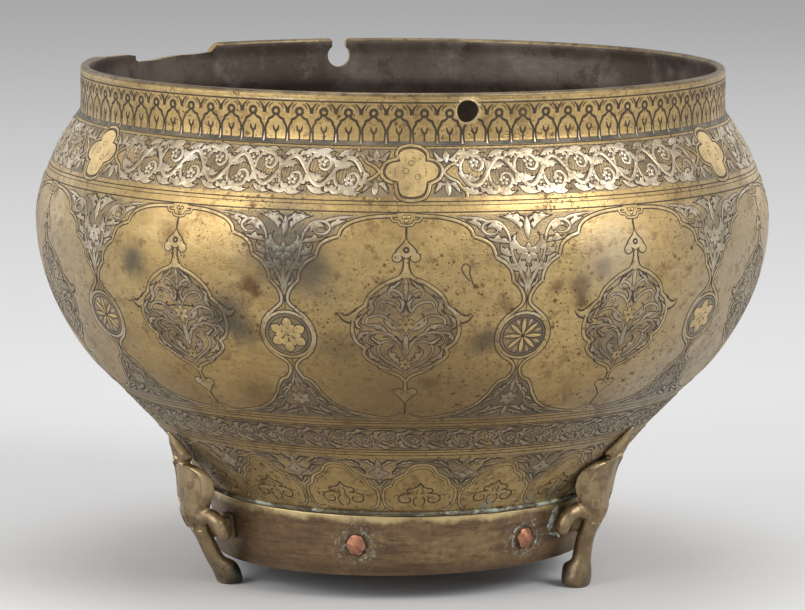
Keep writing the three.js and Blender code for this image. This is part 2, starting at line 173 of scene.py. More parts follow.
def made(name, points, faces, *finishes, smooth=True, crease=None):
    """An object from points in mm."""
    mesh = bpy.data.meshes.new(name)
    mesh.from_pydata([tuple(c * MM for c in p) for p in points], [], faces)
    for finish in finishes:
        mesh.materials.append(finish)
    mesh.polygons.foreach_set("use_smooth", [smooth] * len(mesh.polygons))
    if crease:
        mesh.set_sharp_from_angle(angle=math.radians(crease))
    return linked(name, mesh)


def skin(rows, count, start=0, closed_rows=False, closed=False, over=False):
    """Faces between rows of so many points each, closed round and turned over where told."""
    faces = []
    for i in range(rows if closed_rows else rows - 1):
        low = start + i * count
        high = start + (i + 1) % rows * count
        for j in range(count if closed else count - 1):
            k = (j + 1) % count
            face = (low + j, high + j, high + k, low + k)
            faces.append((face[0], *reversed(face[1:])) if over else face)
    return faces


def loft(rings):
    """A closed solid through rings of points."""
    count = len(rings[0])
    points = [tuple(p) for ring in rings for p in ring]
    faces = skin(len(rings), count, closed=True, over=True)
    faces.append(tuple(reversed(range(count))))
    faces.append(tuple(range(len(points) - count, len(points))))
    return points, faces


def reworked(thing, *steps):
    """Runs steps of work on an object's mesh."""
    mesh = bmesh.new()
    mesh.from_mesh(thing.data)
    for step in steps:
        step(mesh)
    mesh.to_mesh(thing.data)
    mesh.free()
    return thing


def weld(mesh):
    bmesh.ops.remove_doubles(mesh, verts=mesh.verts, dist=1e-6)
    bmesh.ops.dissolve_degenerate(mesh, dist=1e-7, edges=mesh.edges)


def face_outwards(mesh):
    bmesh.ops.recalc_face_normals(mesh, faces=mesh.faces)


def turned(name, outline, finishes, zones=None, sides=ROUND_SIDES, crease=40):
    """A closed outline of radius and height, anticlockwise, turned round the Z axis."""
    points = [polar(r, turn, z) for turn in turns(sides) for r, z in outline]
    faces = skin(sides, len(outline), closed_rows=True, closed=True)
    thing = made(name, points, faces, *finishes, crease=crease)
    if zones:
        thing.data.polygons.foreach_set("material_index", zones * sides)
    return reworked(thing, weld)


def settled(thing):
    """Applies the modifiers of an object."""
    depsgraph = bpy.context.evaluated_depsgraph_get()
    mesh = bpy.data.meshes.new_from_object(thing.evaluated_get(depsgraph))
    old = thing.data
    thing.modifiers.clear()
    thing.data = mesh
    bpy.data.meshes.remove(old)
    mesh.name = thing.name
    return thing


def cut_away(thing, cutter):
    cut = thing.modifiers.new("cut", "BOOLEAN")
    cut.operation = "DIFFERENCE"
    cut.solver = "EXACT"
    cut.object = cutter
    settled(thing)
    bpy.data.objects.remove(cutter)
    return thing


def placed(thing, slot, *nodes):
    """Puts a finished piece on the pail, in the place of CAD nodes where it has any."""
    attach(thing, "root")
    if nodes:
        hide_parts(*nodes)
    return thing


# Materials


def put(tree, socket, value):
    if isinstance(value, bpy.types.NodeSocket):
        tree.links.new(value, socket)
    else:
        socket.default_value = value


def added(tree, kind, settings=None, *given, **named):
    """The outputs of a new node, with its settings and with what goes into its inputs."""
    node = tree.nodes.new(kind)
    for name, value in (settings or {}).items():
        setattr(node, name, value)
    for socket, value in zip(node.inputs, given):
        put(tree, socket, value)
    for name, value in named.items():
        put(tree, node.inputs[name.replace("_", " ")], value)
    return node.outputs


class Finish:
    """A material in the making, with short ways to add its nodes."""

    def __init__(self, name):
        self.material = bpy.data.materials.new(name)
        self.material.use_nodes = True
        self.tree = self.material.node_tree
        self.shader = next(n for n in self.tree.nodes if n.type == "BSDF_PRINCIPLED")
        self.place = added(self.tree, "ShaderNodeTexCoord")["Object"]

    def set(self, **values):
        for name, value in values.items():
            put(self.tree, self.shader.inputs[name.replace("_", " ")], value)
        return self.material

    def noise(self, scale, detail, roughness, stretch=None):
        place = self.place
        if stretch:
            place = added(self.tree, "ShaderNodeMapping", Scale=stretch, Vector=place)["Vector"]
        values = {"Scale": scale, "Detail": detail, "Roughness": roughness, "Vector": place}
        return added(self.tree, "ShaderNodeTexNoise", **values)["Fac"]

    def patches(self, scale, detail, roughness, low, high, start=0.0, end=1.0, stretch=None):
        """The end value in the patches of a noise, the start value between them."""
        return self.ramp(self.noise(scale, detail, roughness, stretch), low, high, start, end)

    def cells(self, scale):
        """Distance from the nearest of many scattered points."""
        return added(self.tree, "ShaderNodeTexVoronoi", Scale=scale, Vector=self.place)["Distance"]

    def ramp(self, value, low, high, start=0.0, end=1.0):
        ends = {"From Min": low, "From Max": high, "To Min": start, "To Max": end}
        smooth = {"interpolation_type": "SMOOTHSTEP"}
        return added(self.tree, "ShaderNodeMapRange", smooth, Value=value, **ends)["Result"]

    def math(self, operation, a, b):
        return added(self.tree, "ShaderNodeMath", {"operation": operation}, a, b)[0]

    def colour(self, share, a, b, blend="MIX"):
        """From one colour to another by a share, or one blended with the other."""
        a, b = ((*tint, 1.0) if isinstance(tint, tuple) else tint for tint in (a, b))
        mixed = {"data_type": "RGBA", "blend_type": blend}
        return added(self.tree, "ShaderNodeMix", mixed, Factor=share, A=a, B=b)["Result"]

    def stained(self, colour, where, strength, stain):
        """The colour with a stain laid over it where told."""
        return self.colour(self.math("MULTIPLY", where, strength), colour, stain)

    def attribute(self, name):
        return added(self.tree, "ShaderNodeAttribute", {"attribute_name": name})["Fac"]

    def height(self):
        return added(self.tree, "ShaderNodeSeparateXYZ", Vector=self.place)["Z"]

    def near(self, point, inner, outer, ragged=0.006):
        """One near a point of the pail and nothing far from it, with a ragged edge."""
        away = added(self.tree, "ShaderNodeVectorMath", {"operation": "DISTANCE"}, self.place, point)["Value"]
        wobble = self.math("MULTIPLY", self.noise(140.0, 4.0, 0.65), ragged * 2)
        return self.ramp(self.math("ADD", away, wobble), inner + ragged, outer + ragged, 1.0, 0.0)

    def bump(self, height, strength, distance, under=None):
        values = {"Strength": strength, "Distance": distance, "Height": height}
        if under:
            values["Normal"] = under
        normal = added(self.tree, "ShaderNodeBump", **values)["Normal"]
        self.set(Normal=normal)
        return normal


def on_body(degrees, along):
    """Point of the body's outside, in metres, from degrees off the front and mm along it."""
    left = along - BELOW_LEDGE
    for low, high in zip(OUTSIDE, OUTSIDE[1:]):
        step = math.dist(low, high)
        if left <= step:
            r, z = (lerp(low[i], high[i], left / step) for i in (0, 1))
            break
        left -= step
    return polar(r * MM, math.radians(FRONT + degrees), z * MM)


SOOT = (0.08, 0.074, 0.06)
RUST = (0.1, 0.056, 0.026)
BROWN = (0.17, 0.115, 0.055)
# Pale dust, and a painted sheen on the body's turning sides.
GREEN = (0.26, 0.33, 0.28)
PALE_DUST_AND_SHEEN = (0.44, 0.41, 0.34)
PUNCH_MARKS = 1500.0
# Pits of three sizes: scale, where a pit's edge begins and ends, and depth.
PITS = ((260.0, 0.1, 0.3, 0.95), (620.0, 0.14, 0.4, 0.9), (1100.0, 0.16, 0.42, 0.75))
# Blots on the body: degrees off the front, mm along, size in mm, depth and colour. The pale blots towards the
# sides are partly dust and partly a painted sheen, the grey of the surroundings where the body turns away.
BLOTS = (
    (-27.0, 103.0, 14.0, 0.95, SOOT),
    (-24.0, 96.0, 9.0, 0.6, SOOT),
    (-44.0, 118.0, 9.0, 0.85, SOOT),
    (12.8, 95.0, 9.0, 0.85, SOOT),
    (4.6, 77.0, 4.8, 0.95, RUST),
    (4.6, 73.0, 3.0, 0.9, RUST),
    (-2.0, 109.0, 12.0, 0.5, SOOT),
    (-12.0, 116.0, 13.0, 0.5, SOOT),
    (-10.0, 92.0, 10.0, 0.5, SOOT),
    (-14.0, 122.0, 9.0, 0.5, SOOT),
    (15.2, 108.0, 5.0, 0.6, RUST),
    (34.0, 91.0, 12.0, 0.5, SOOT),
    (-25.0, 70.0, 13.0, 0.5, RUST),
    (-36.0, 128.0, 8.0, 0.5, RUST),
    (-17.6, 127.0, 24.0, 1.0, SOOT),
    (-4.0, 80.0, 44.0, 0.62, BROWN),
    (8.0, 72.0, 36.0, 0.5, BROWN),
    (8.0, 108.0, 30.0, 0.25, BROWN),
    (-22.8, 113.8, 4.4, 0.9, RUST),
    (-21.8, 110.9, 4.0, 0.9, RUST),
    (23.3, 113.0, 4.6, 0.7, RUST),
    (27.0, 113.8, 6.6, 0.75, RUST),
    (27.6, 107.6, 4.2, 0.85, RUST),
    (30.6, 119.0, 5.6, 0.7, RUST),
    (62.0, 104.0, 62.0, 0.4, PALE_DUST_AND_SHEEN),
    (-66.0, 104.0, 58.0, 0.35, PALE_DUST_AND_SHEEN),
    (50.0, 56.0, 44.0, 0.5, PALE_DUST_AND_SHEEN),
    (-52.0, 50.0, 32.0, 0.3, PALE_DUST_AND_SHEEN),
    (33.0, 122.0, 22.0, 0.35, PALE_DUST_AND_SHEEN),
    (46.0, 13.0, 6.0, 0.6, GREEN),
    (51.0, 22.0, 5.0, 0.6, GREEN),
    (38.0, 11.0, 5.0, 0.5, GREEN),
    (24.0, 10.5, 4.0, 0.5, GREEN),
)


def aged(finish, colour, blots=1.0, pits=1.0):
    """Lays the pail's pits, blots and the darker lower body over a finish's colour."""
    below_belly = finish.ramp(finish.height(), 0.07, 0.118, 0.5, 0.0)
    above_foot = finish.ramp(finish.height(), 0.045, 0.066)
    lower_body = finish.math("MULTIPLY", below_belly, above_foot)
    colour = finish.colour(lower_body, colour, (0.6, 0.53, 0.44), "MULTIPLY")
    for degrees, along, size, depth, stain in BLOTS:
        share = finish.near(on_body(degrees, along), 0.1 * size * MM, size * MM, 0.004)
        colour = finish.stained(colour, share, depth * blots, stain)
    large = finish.patches(80.0, 6.0, 0.74, 0.56, 0.62)
    colour = finish.stained(colour, large, 0.5 * pits, (0.19, 0.11, 0.05))
    freckles = finish.patches(260.0, 5.0, 0.75, 0.55, 0.64)
    colour = finish.stained(colour, freckles, 0.6 * pits, (0.16, 0.095, 0.045))
    where = finish.patches(30.0, 4.0, 0.6, 0.36, 0.6)
    pitted = None
    for scale, low, high, depth in PITS:
        small = finish.ramp(finish.cells(scale), low, high, 1.0, 0.0)
        thinned = finish.patches(scale * 0.8, 2.0, 0.5, 0.48, 0.58)
        small = finish.math("MULTIPLY", small, finish.math("MULTIPLY", where, thinned))
        colour = finish.stained(colour, small, depth * pits, RUST)
        pitted = finish.math("MAXIMUM", pitted, small) if pitted else small
    return colour, pitted


def scratched(finish):
    """Fine scratches that run every way, one where a scratch is."""
    marks = None
    for stretch in ((9.0, 9.0, 1.2), (1.2, 1.2, 9.0), (4.0, 1.2, 6.0)):
        lines = finish.patches(260.0, 3.0, 0.6, 0.56, 0.66, stretch=stretch)
        marks = finish.math("MAXIMUM", marks, lines) if marks else lines
    return marks


def hammered(finish, pitted=None, strength=0.35):
    """The soft unevenness of beaten sheet, fine scratches, and pits."""
    dents = finish.bump(finish.noise(26.0, 2.0, 0.5), strength, 0.0035)
    scratches = finish.noise(420.0, 4.0, 0.65, stretch=(1.0, 1.0, 3.0))
    fine = finish.bump(scratches, 0.2, 0.0004, dents)
    if pitted:
        upside = finish.math("SUBTRACT", 1.0, pitted)
        finish.bump(upside, 0.4, 0.0003, fine)


def worn_brass():
    finish = Finish("worn brass")
    tone = finish.patches(14.0, 3.0, 0.6, 0.3, 0.7)
    colour = finish.colour(tone, (0.4, 0.27, 0.1), (0.5, 0.355, 0.15))
    cloud = finish.patches(46.0, 6.0, 0.7, 0.42, 0.7)
    colour = finish.stained(colour, cloud, 0.6, (0.25, 0.165, 0.07))
    grain = finish.patches(420.0, 4.0, 0.7, 0.35, 0.7)
    colour = finish.stained(colour, grain, 0.5, (0.26, 0.18, 0.08))
    streaks = finish.patches(60.0, 4.0, 0.6, 0.45, 0.75, stretch=(1.0, 1.0, 7.0))
    colour = finish.stained(colour, streaks, 0.35, (0.56, 0.42, 0.2))
    colour = finish.stained(colour, scratched(finish), 0.16, (0.62, 0.5, 0.3))
    colour, pitted = aged(finish, colour)
    # A lighter ring round the handle hole: wear on its edge and a painted highlight on its lip.
    ring = finish.near(on_body(FRONT_HOLE, NECK_LENGTH), 3.4 * MM, 5.6 * MM, 0.001)
    colour = finish.colour(ring, colour, (0.6, 0.46, 0.23))
    hammered(finish, pitted)
    dull = finish.patches(48.0, 4.0, 0.6, 0.35, 0.7, 0.34, 0.52)
    return finish.set(Base_Color=colour, Metallic=0.88, Roughness=dull)


def rubbed_brass():
    finish = Finish("rubbed brass")
    tone = finish.patches(120.0, 4.0, 0.6, 0.35, 0.7)
    colour = finish.colour(tone, (0.22, 0.165, 0.09), (0.11, 0.08, 0.048))
    nicks = finish.patches(340.0, 5.0, 0.75, 0.54, 0.62)
    colour = finish.colour(nicks, colour, (0.1, 0.07, 0.045))
    hammered(finish, strength=0.25)
    return finish.set(Base_Color=colour, Metallic=0.85, Roughness=0.42)


def tarnished_inside():
    finish = Finish("tarnished inside")
    tone = finish.patches(26.0, 6.0, 0.7, 0.35, 0.68)
    colour = finish.colour(tone, (0.08, 0.057, 0.042), (0.165, 0.13, 0.105))
    blotches = finish.patches(70.0, 6.0, 0.72, 0.5, 0.66)
    colour = finish.stained(colour, blotches, 0.5, (0.22, 0.19, 0.165))
    dark = finish.patches(110.0, 5.0, 0.7, 0.54, 0.64)
    colour = finish.stained(colour, dark, 0.7, (0.06, 0.043, 0.032))
    hammered(finish, strength=0.4)
    return finish.set(Base_Color=colour, Metallic=0.55, Roughness=0.55)


def engraved_line():
    finish = Finish("engraved line")
    worn = finish.patches(75.0, 4.0, 0.65, 0.52, 0.74, 0.0, 0.5)
    colour = finish.colour(worn, (0.05, 0.034, 0.02), (0.17, 0.115, 0.055))
    return finish.set(Base_Color=colour, Metallic=0.45, Roughness=0.6)


def matted_ground():
    finish = Finish("matted ground")
    worn = finish.patches(70.0, 5.0, 0.7, 0.38, 0.66, 0.0, 0.8)
    colour = finish.colour(worn, (0.13, 0.105, 0.072), (0.29, 0.215, 0.12))
    colour, _ = aged(finish, colour, 0.7, 0.5)
    finish.bump(finish.cells(PUNCH_MARKS), 0.6, 0.0002)
    return finish.set(Base_Color=colour, Metallic=0.6, Roughness=0.55)


def rubbed_ground():
    """Ground whose dark filling is nearly gone."""
    finish = Finish("rubbed ground")
    worn = finish.patches(55.0, 5.0, 0.7, 0.36, 0.6, 0.1, 1.0)
    colour = finish.colour(worn, (0.17, 0.13, 0.08), (0.38, 0.275, 0.135))
    colour, _ = aged(finish, colour, 0.9, 0.8)
    finish.bump(finish.cells(PUNCH_MARKS), 0.5, 0.0002)
    return finish.set(Base_Color=colour, Metallic=0.75, Roughness=0.5)


def silver_inlay():
    finish = Finish("silver inlay")
    tone = finish.patches(160.0, 4.0, 0.65, 0.35, 0.7)
    colour = finish.colour(tone, (0.5, 0.42, 0.29), (0.34, 0.27, 0.18))
    bright = finish.patches(60.0, 3.0, 0.6, 0.54, 0.66)
    colour = finish.stained(colour, bright, 0.75, (0.68, 0.61, 0.5))
    lost = finish.patches(75.0, 4.0, 0.7, 0.54, 0.62, 0.0, 0.8)
    colour = finish.colour(lost, colour, (0.24, 0.175, 0.095))
    colour, pitted = aged(finish, colour, 0.9, 0.6)
    hammered(finish, pitted, 0.2)
    return finish.set(Base_Color=colour, Metallic=0.82, Roughness=0.4)


def dull_silver():
    """Inlay that has tarnished nearly to the colour of the brass."""
    finish = Finish("dull silver")
    tone = finish.patches(130.0, 5.0, 0.7, 0.35, 0.68)
    colour = finish.colour(tone, (0.43, 0.36, 0.25), (0.28, 0.22, 0.145))
    lost = finish.patches(60.0, 4.0, 0.7, 0.52, 0.63, 0.0, 0.65)
    colour = finish.colour(lost, colour, (0.2, 0.145, 0.085))
    colour, pitted = aged(finish, colour, 0.8, 0.7)
    hammered(finish, pitted, 0.2)
    return finish.set(Base_Color=colour, Metallic=0.8, Roughness=0.45)


def rubbed_border():
    """Brass of the raised borders, with what is left of their silver."""
    finish = Finish("rubbed border")
    tone = finish.patches(110.0, 4.0, 0.65, 0.35, 0.7)
    colour = finish.colour(tone, (0.5, 0.375, 0.18), (0.31, 0.22, 0.1))
    traces = finish.patches(48.0, 4.0, 0.7, 0.52, 0.64)
    colour = finish.stained(colour, traces, 0.7, (0.56, 0.49, 0.37))
    colour, pitted = aged(finish, colour, 0.8, 0.7)
    hammered(finish, pitted, 0.2)
    return finish.set(Base_Color=colour, Metallic=0.86, Roughness=0.4)


def gilt_brass():
    finish = Finish("gilt brass")
    tone = finish.patches(110.0, 4.0, 0.6, 0.35, 0.7)
    colour = finish.colour(tone, (0.68, 0.49, 0.22), (0.46, 0.34, 0.16))
    colour, _ = aged(finish, colour, 0.5, 0.5)
    hammered(finish, strength=0.2)
    return finish.set(Base_Color=colour, Metallic=0.9, Roughness=0.38)


def crusted_groove():
    finish = Finish("crusted groove")
    tone = finish.patches(90.0, 4.0, 0.65, 0.38, 0.66)
    colour = finish.colour(tone, (0.06, 0.052, 0.04), (0.16, 0.13, 0.085))
    return finish.set(Base_Color=colour, Metallic=0.35, Roughness=0.6)


def dirty_solder():
    finish = Finish("dirty solder")
    tone = finish.patches(240.0, 5.0, 0.7, 0.4, 0.66)
    colour = finish.colour(tone, (0.13, 0.088, 0.052), (0.22, 0.155, 0.08))
    finish.bump(finish.noise(500.0, 4.0, 0.7), 0.6, 0.0006)
    return finish.set(Base_Color=colour, Metallic=0.25, Roughness=0.7)


def seam_crust_and_shade():
    """Dark solder with pale bloom in patches, more of it towards the right foot; its darkness is partly a
    painted shade in the joint of the band and the body.
    """
    finish = Finish("seam crust")
    tone = finish.patches(200.0, 5.0, 0.7, 0.4, 0.66)
    # The dark tones are solder, darkened further as a painted shade of the joint.
    colour = finish.colour(tone, (0.06, 0.048, 0.03), (0.16, 0.13, 0.08))
    right = finish.near(on_body(48.0, 9.0), 0.01, 0.075, 0.01)
    reach = finish.math("ADD", finish.noise(150.0, 5.0, 0.72), finish.math("MULTIPLY", right, 0.06))
    bloom = finish.ramp(reach, 0.53, 0.61)
    colour = finish.stained(colour, bloom, 0.8, (0.4, 0.45, 0.37))
    finish.bump(finish.noise(700.0, 4.0, 0.7), 0.6, 0.0004)
    return finish.set(Base_Color=colour, Metallic=0.1, Roughness=0.8)


def rivet_bloom():
    """Broken pale crust round a rivet."""
    finish = Finish("rivet bloom")
    tone = finish.patches(330.0, 5.0, 0.7, 0.44, 0.58)
    colour = finish.colour(tone, (0.35, 0.37, 0.31), (0.12, 0.09, 0.058))
    finish.bump(finish.noise(900.0, 4.0, 0.7), 0.6, 0.0004)
    return finish.set(Base_Color=colour, Metallic=0.1, Roughness=0.8)


def band_brass():
    finish = Finish("patched band brass")
    streaks = finish.patches(44.0, 7.0, 0.76, 0.42, 0.62, stretch=(1.0, 1.0, 8.0))
    colour = finish.colour(streaks, (0.21, 0.138, 0.07), (0.115, 0.07, 0.046))
    bare = finish.patches(24.0, 7.0, 0.74, 0.5, 0.62, stretch=(1.0, 1.0, 3.0))
    colour = finish.stained(colour, bare, 0.8, (0.3, 0.21, 0.105))
    rosy = finish.patches(36.0, 5.0, 0.72, 0.5, 0.6, stretch=(1.0, 1.0, 4.0))
    colour = finish.stained(colour, rosy, 0.4, (0.19, 0.12, 0.07))
    grain = finish.patches(380.0, 5.0, 0.75, 0.46, 0.64)
    colour = finish.stained(colour, grain, 0.5, (0.105, 0.065, 0.04))
    wander = finish.math("MULTIPLY", finish.noise(70.0, 5.0, 0.7), 0.009)
    edge = finish.ramp(finish.math("ADD", finish.height(), wander), 0.0325, 0.0352)
    colour = finish.stained(colour, edge, 0.9, (0.62, 0.48, 0.24))
    for angle in RIVET_ANGLES:
        at = polar(BAND_TOP_RADIUS * MM, math.radians(angle), RIVET_HEIGHT * MM)
        round_rivet = finish.near(at, 4.5 * MM, 11 * MM)
        specks = finish.math("MULTIPLY", round_rivet, finish.patches(620.0, 5.0, 0.75, 0.54, 0.6))
        colour = finish.stained(colour, specks, 0.7, (0.4, 0.42, 0.36))
    foot = finish.ramp(finish.height(), 0.0115, 0.0155, 0.5, 0.0)
    colour = finish.colour(foot, colour, (0.08, 0.055, 0.035))
    hammered(finish, strength=0.6)
    return finish.set(Base_Color=colour, Metallic=0.82, Roughness=0.4)


def cast_brass():
    """Brass of the feet: bright on raised parts, as wear and as a painted highlight, and dark in their
    hollows, as patina and as painted shade, with a painted shade on the side that faces the body.
    """
    finish = Finish("cast brass")
    tone = finish.patches(95.0, 5.0, 0.7, 0.4, 0.64)
    colour = finish.colour(tone, (0.34, 0.25, 0.14), (0.2, 0.14, 0.08))
    flecks = finish.patches(240.0, 5.0, 0.72, 0.53, 0.62)
    colour = finish.stained(colour, flecks, 0.6, (0.13, 0.09, 0.055))
    wander = finish.math("MULTIPLY", tone, 0.004)
    bottom = finish.ramp(finish.math("ADD", finish.height(), wander), 0.006, 0.018, 0.4, 0.0)
    colour = finish.colour(bottom, colour, (0.085, 0.07, 0.045))
    # Painted shade on the side of each foot that faces the body.
    painted_inner_shade = finish.near((0.0, 0.0, 0.004), 0.0675, 0.0725, 0.002)
    colour = finish.stained(colour, painted_inner_shade, 0.9, (0.045, 0.05, 0.038))
    # Lighter where a point stands out, as wear and a painted highlight; darker in hollows, as patina and
    # painted shade.
    wear = finish.attribute("wear")
    colour = finish.colour(finish.ramp(wear, 0.025, 0.075, 0.0, 0.65), colour, (0.6, 0.46, 0.26))
    colour = finish.colour(finish.ramp(wear, -0.045, -0.012, 0.9, 0.0), colour, (0.05, 0.036, 0.024))
    finish.bump(finish.noise(420.0, 4.0, 0.7), 0.35, 0.0006)
    return finish.set(Base_Color=colour, Metallic=0.85, Roughness=0.38)


def copper():
    finish = Finish("hammered copper")
    tone = finish.patches(420.0, 4.0, 0.7, 0.42, 0.62)
    colour = finish.colour(tone, (0.37, 0.155, 0.085), (0.18, 0.08, 0.05))
    wear = finish.attribute("wear")
    colour = finish.colour(finish.ramp(wear, 0.015, 0.05, 0.0, 0.7), colour, (0.55, 0.27, 0.17))
    return finish.set(Base_Color=colour, Metallic=0.6, Roughness=0.48)


def verdigris():
    finish = Finish("verdigris")
    tone = finish.patches(260.0, 5.0, 0.7, 0.42, 0.58)
    colour = finish.colour(tone, (0.38, 0.41, 0.35), (0.13, 0.115, 0.08))
    finish.bump(finish.noise(900.0, 4.0, 0.7), 0.6, 0.0005)
    return finish.set(Base_Color=colour, Metallic=0.05, Roughness=0.85)


# Body


def body_shell(brass, lip, inside):
    outside = [(band_radius(FOOT_WALL_END) - BAND_THICKNESS - GAP, FOOT_WALL_END)]
    outside += [(band_radius(BAND_TOP) - BAND_THICKNESS - GAP, BAND_TOP + GAP)]
    outside += OUTSIDE
    wall = [(r, z) for r, z in offset(outside, WALL) if z < RIM_HEIGHT - LIP_HEIGHT - LIP_ROUNDING]
    wall[0] = (wall[0][0], FOOT_WALL_END)
    lip_inside = RIM_RADIUS - LIP_THICKNESS
    crown = []
    for middle, quarters in ((RIM_RADIUS - LIP_ROUNDING, 0), (lip_inside + LIP_ROUNDING, 1)):
        for i in range(7):
            turn = math.pi / 2 * (quarters + i / 6)
            z = RIM_HEIGHT - LIP_ROUNDING * (1 - math.sin(turn))
            crown.append((middle + LIP_ROUNDING * math.cos(turn), z))
    crown += [(lip_inside, RIM_HEIGHT - LIP_HEIGHT + 0.5), (RIM_RADIUS - WALL, RIM_HEIGHT - LIP_HEIGHT - 0.9)]
    outline = outside + crown[1:] + wall[::-1]
    zones = [0] * (len(outside) - 1) + [1] * (len(crown) - 3) + [2] * (len(wall) + 3)
    body = turned("body_of_pail", outline, (brass, lip, inside), zones)
    cut_away(body, hole_cutter())
    cut_away(body, broken_hole_cutter())
    cut_away(body, broken_rim_cutter())
    return placed(body, "body_brass", "body_shell")


def prism(name, outline, angle):
    """A cutter with an outline across and up, reaching through the neck."""
    turn = math.radians(angle)
    out = Vector(polar(1.0, turn, 0.0))
    side = Vector(polar(1.0, turn + math.pi / 2, 0.0))
    rings = []
    for r in (RIM_RADIUS - CUT_REACH, RIM_RADIUS + CUT_REACH):
        rings.append([out * r + side * x + Vector((0.0, 0.0, z)) for x, z in outline])
    return made(name, *loft(rings), smooth=False)


def hole_cutter():
    ring = []
    for turn in turns(48):
        radius = HANDLE_HOLE_RADIUS * (1 + 0.02 * math.sin(3 * turn + 1))
        ring.append((radius * math.cos(turn), HANDLE_HOLE_HEIGHT + radius * math.sin(turn)))
    return prism("hole_cutter", ring, HANDLE_HOLE_ANGLE)


def broken_hole_cutter():
    half = BREAK_WIDTH / 2
    meets = math.asin(half / BROKEN_HOLE_RADIUS)
    ring = []
    for i in range(41):
        turn = math.pi / 2 + meets + (2 * math.pi - 2 * meets) * i / 40
        up = BROKEN_HOLE_RADIUS * math.sin(turn)
        ring.append((BROKEN_HOLE_RADIUS * math.cos(turn), BROKEN_HOLE_HEIGHT + up))
    start = RIM_HEIGHT - BREAK_ROUNDING
    corner = half + BREAK_ROUNDING
    ring += quadratic((half, start), (half, RIM_HEIGHT), (corner, RIM_HEIGHT + 0.01), 6)
    ring += [(corner, RIM_HEIGHT + CUT_REACH), (-corner, RIM_HEIGHT + CUT_REACH)]
    ring += quadratic((-corner, RIM_HEIGHT + 0.01), (-half, RIM_HEIGHT), (-half, start), 6)
    return prism("broken_hole_cutter", ring, BROKEN_HOLE_ANGLE)


def broken_rim_cutter():
    inner, outer, top = RIM_RADIUS - CUT_REACH, RIM_RADIUS + CUT_REACH, RIM_HEIGHT + CUT_REACH
    rings = []
    for angle, drop in BROKEN_RIM:
        low = RIM_HEIGHT + drop
        corners = ((inner, low), (outer, low), (outer, top), (inner, top))
        rings.append([polar(r, math.radians(angle), z) for r, z in corners])
    return reworked(made("broken_rim_cutter", *loft(rings), smooth=False), face_outwards)


# Ornament


def smoothed(path, step=0.9):
    """A curve through the points of a path, with a point about every step."""
    if len(path) < 3:
        return along_line(path, step)
    path = [Vector(p) for p in path]
    ends = [2 * path[0] - path[1], *path, 2 * path[-1] - path[-2]]
    line = []
    for a, b, c, d in zip(ends, ends[1:], ends[2:], ends[3:]):
        pieces = max(2, round((c - b).length / step))
        bend = 2 * a - 5 * b + 4 * c - d
        twist = 3 * b - a - 3 * c + d
        for i in range(pieces):
            t = i / pieces
            line.append(0.5 * (2 * b + (c - a) * t + bend * t**2 + twist * t**3))
    line.append(path[-1])
    return line


def along_line(path, step):
    line = []
    for a, b in zip(path, path[1:]):
        a, b = Vector(a), Vector(b)
        pieces = max(1, round((b - a).length / step))
        line += [a.lerp(b, i / pieces) for i in range(pieces)]
    return line + [Vector(path[-1])]


def squares(line):
    """Directions square to a flat line, to the left at each of its points."""
    ways = [line[min(i + 1, len(line) - 1)] - line[max(i - 1, 0)] for i in range(len(line))]
    return [Vector((-way.y, way.x)).normalized() for way in ways]


def width_at(widths, share):
    if isinstance(widths, (int, float)):
        return widths
    place = share * (len(widths) - 1)
    low = min(int(place), len(widths) - 2)
    ease = 0.5 - 0.5 * math.cos(math.pi * (place - low))
    return lerp(widths[low], widths[low + 1], ease)


# How wide a leaf and a tendril are along their length, as shares of their full width.
LEAF = (0.12, 0.75, 1.0, 0.8, 0.1)
TENDRIL = (0.5, 1.0, 0.8, 0.35)
TENDRIL_DOME = 0.12
PALMETTE_DOME = 0.15


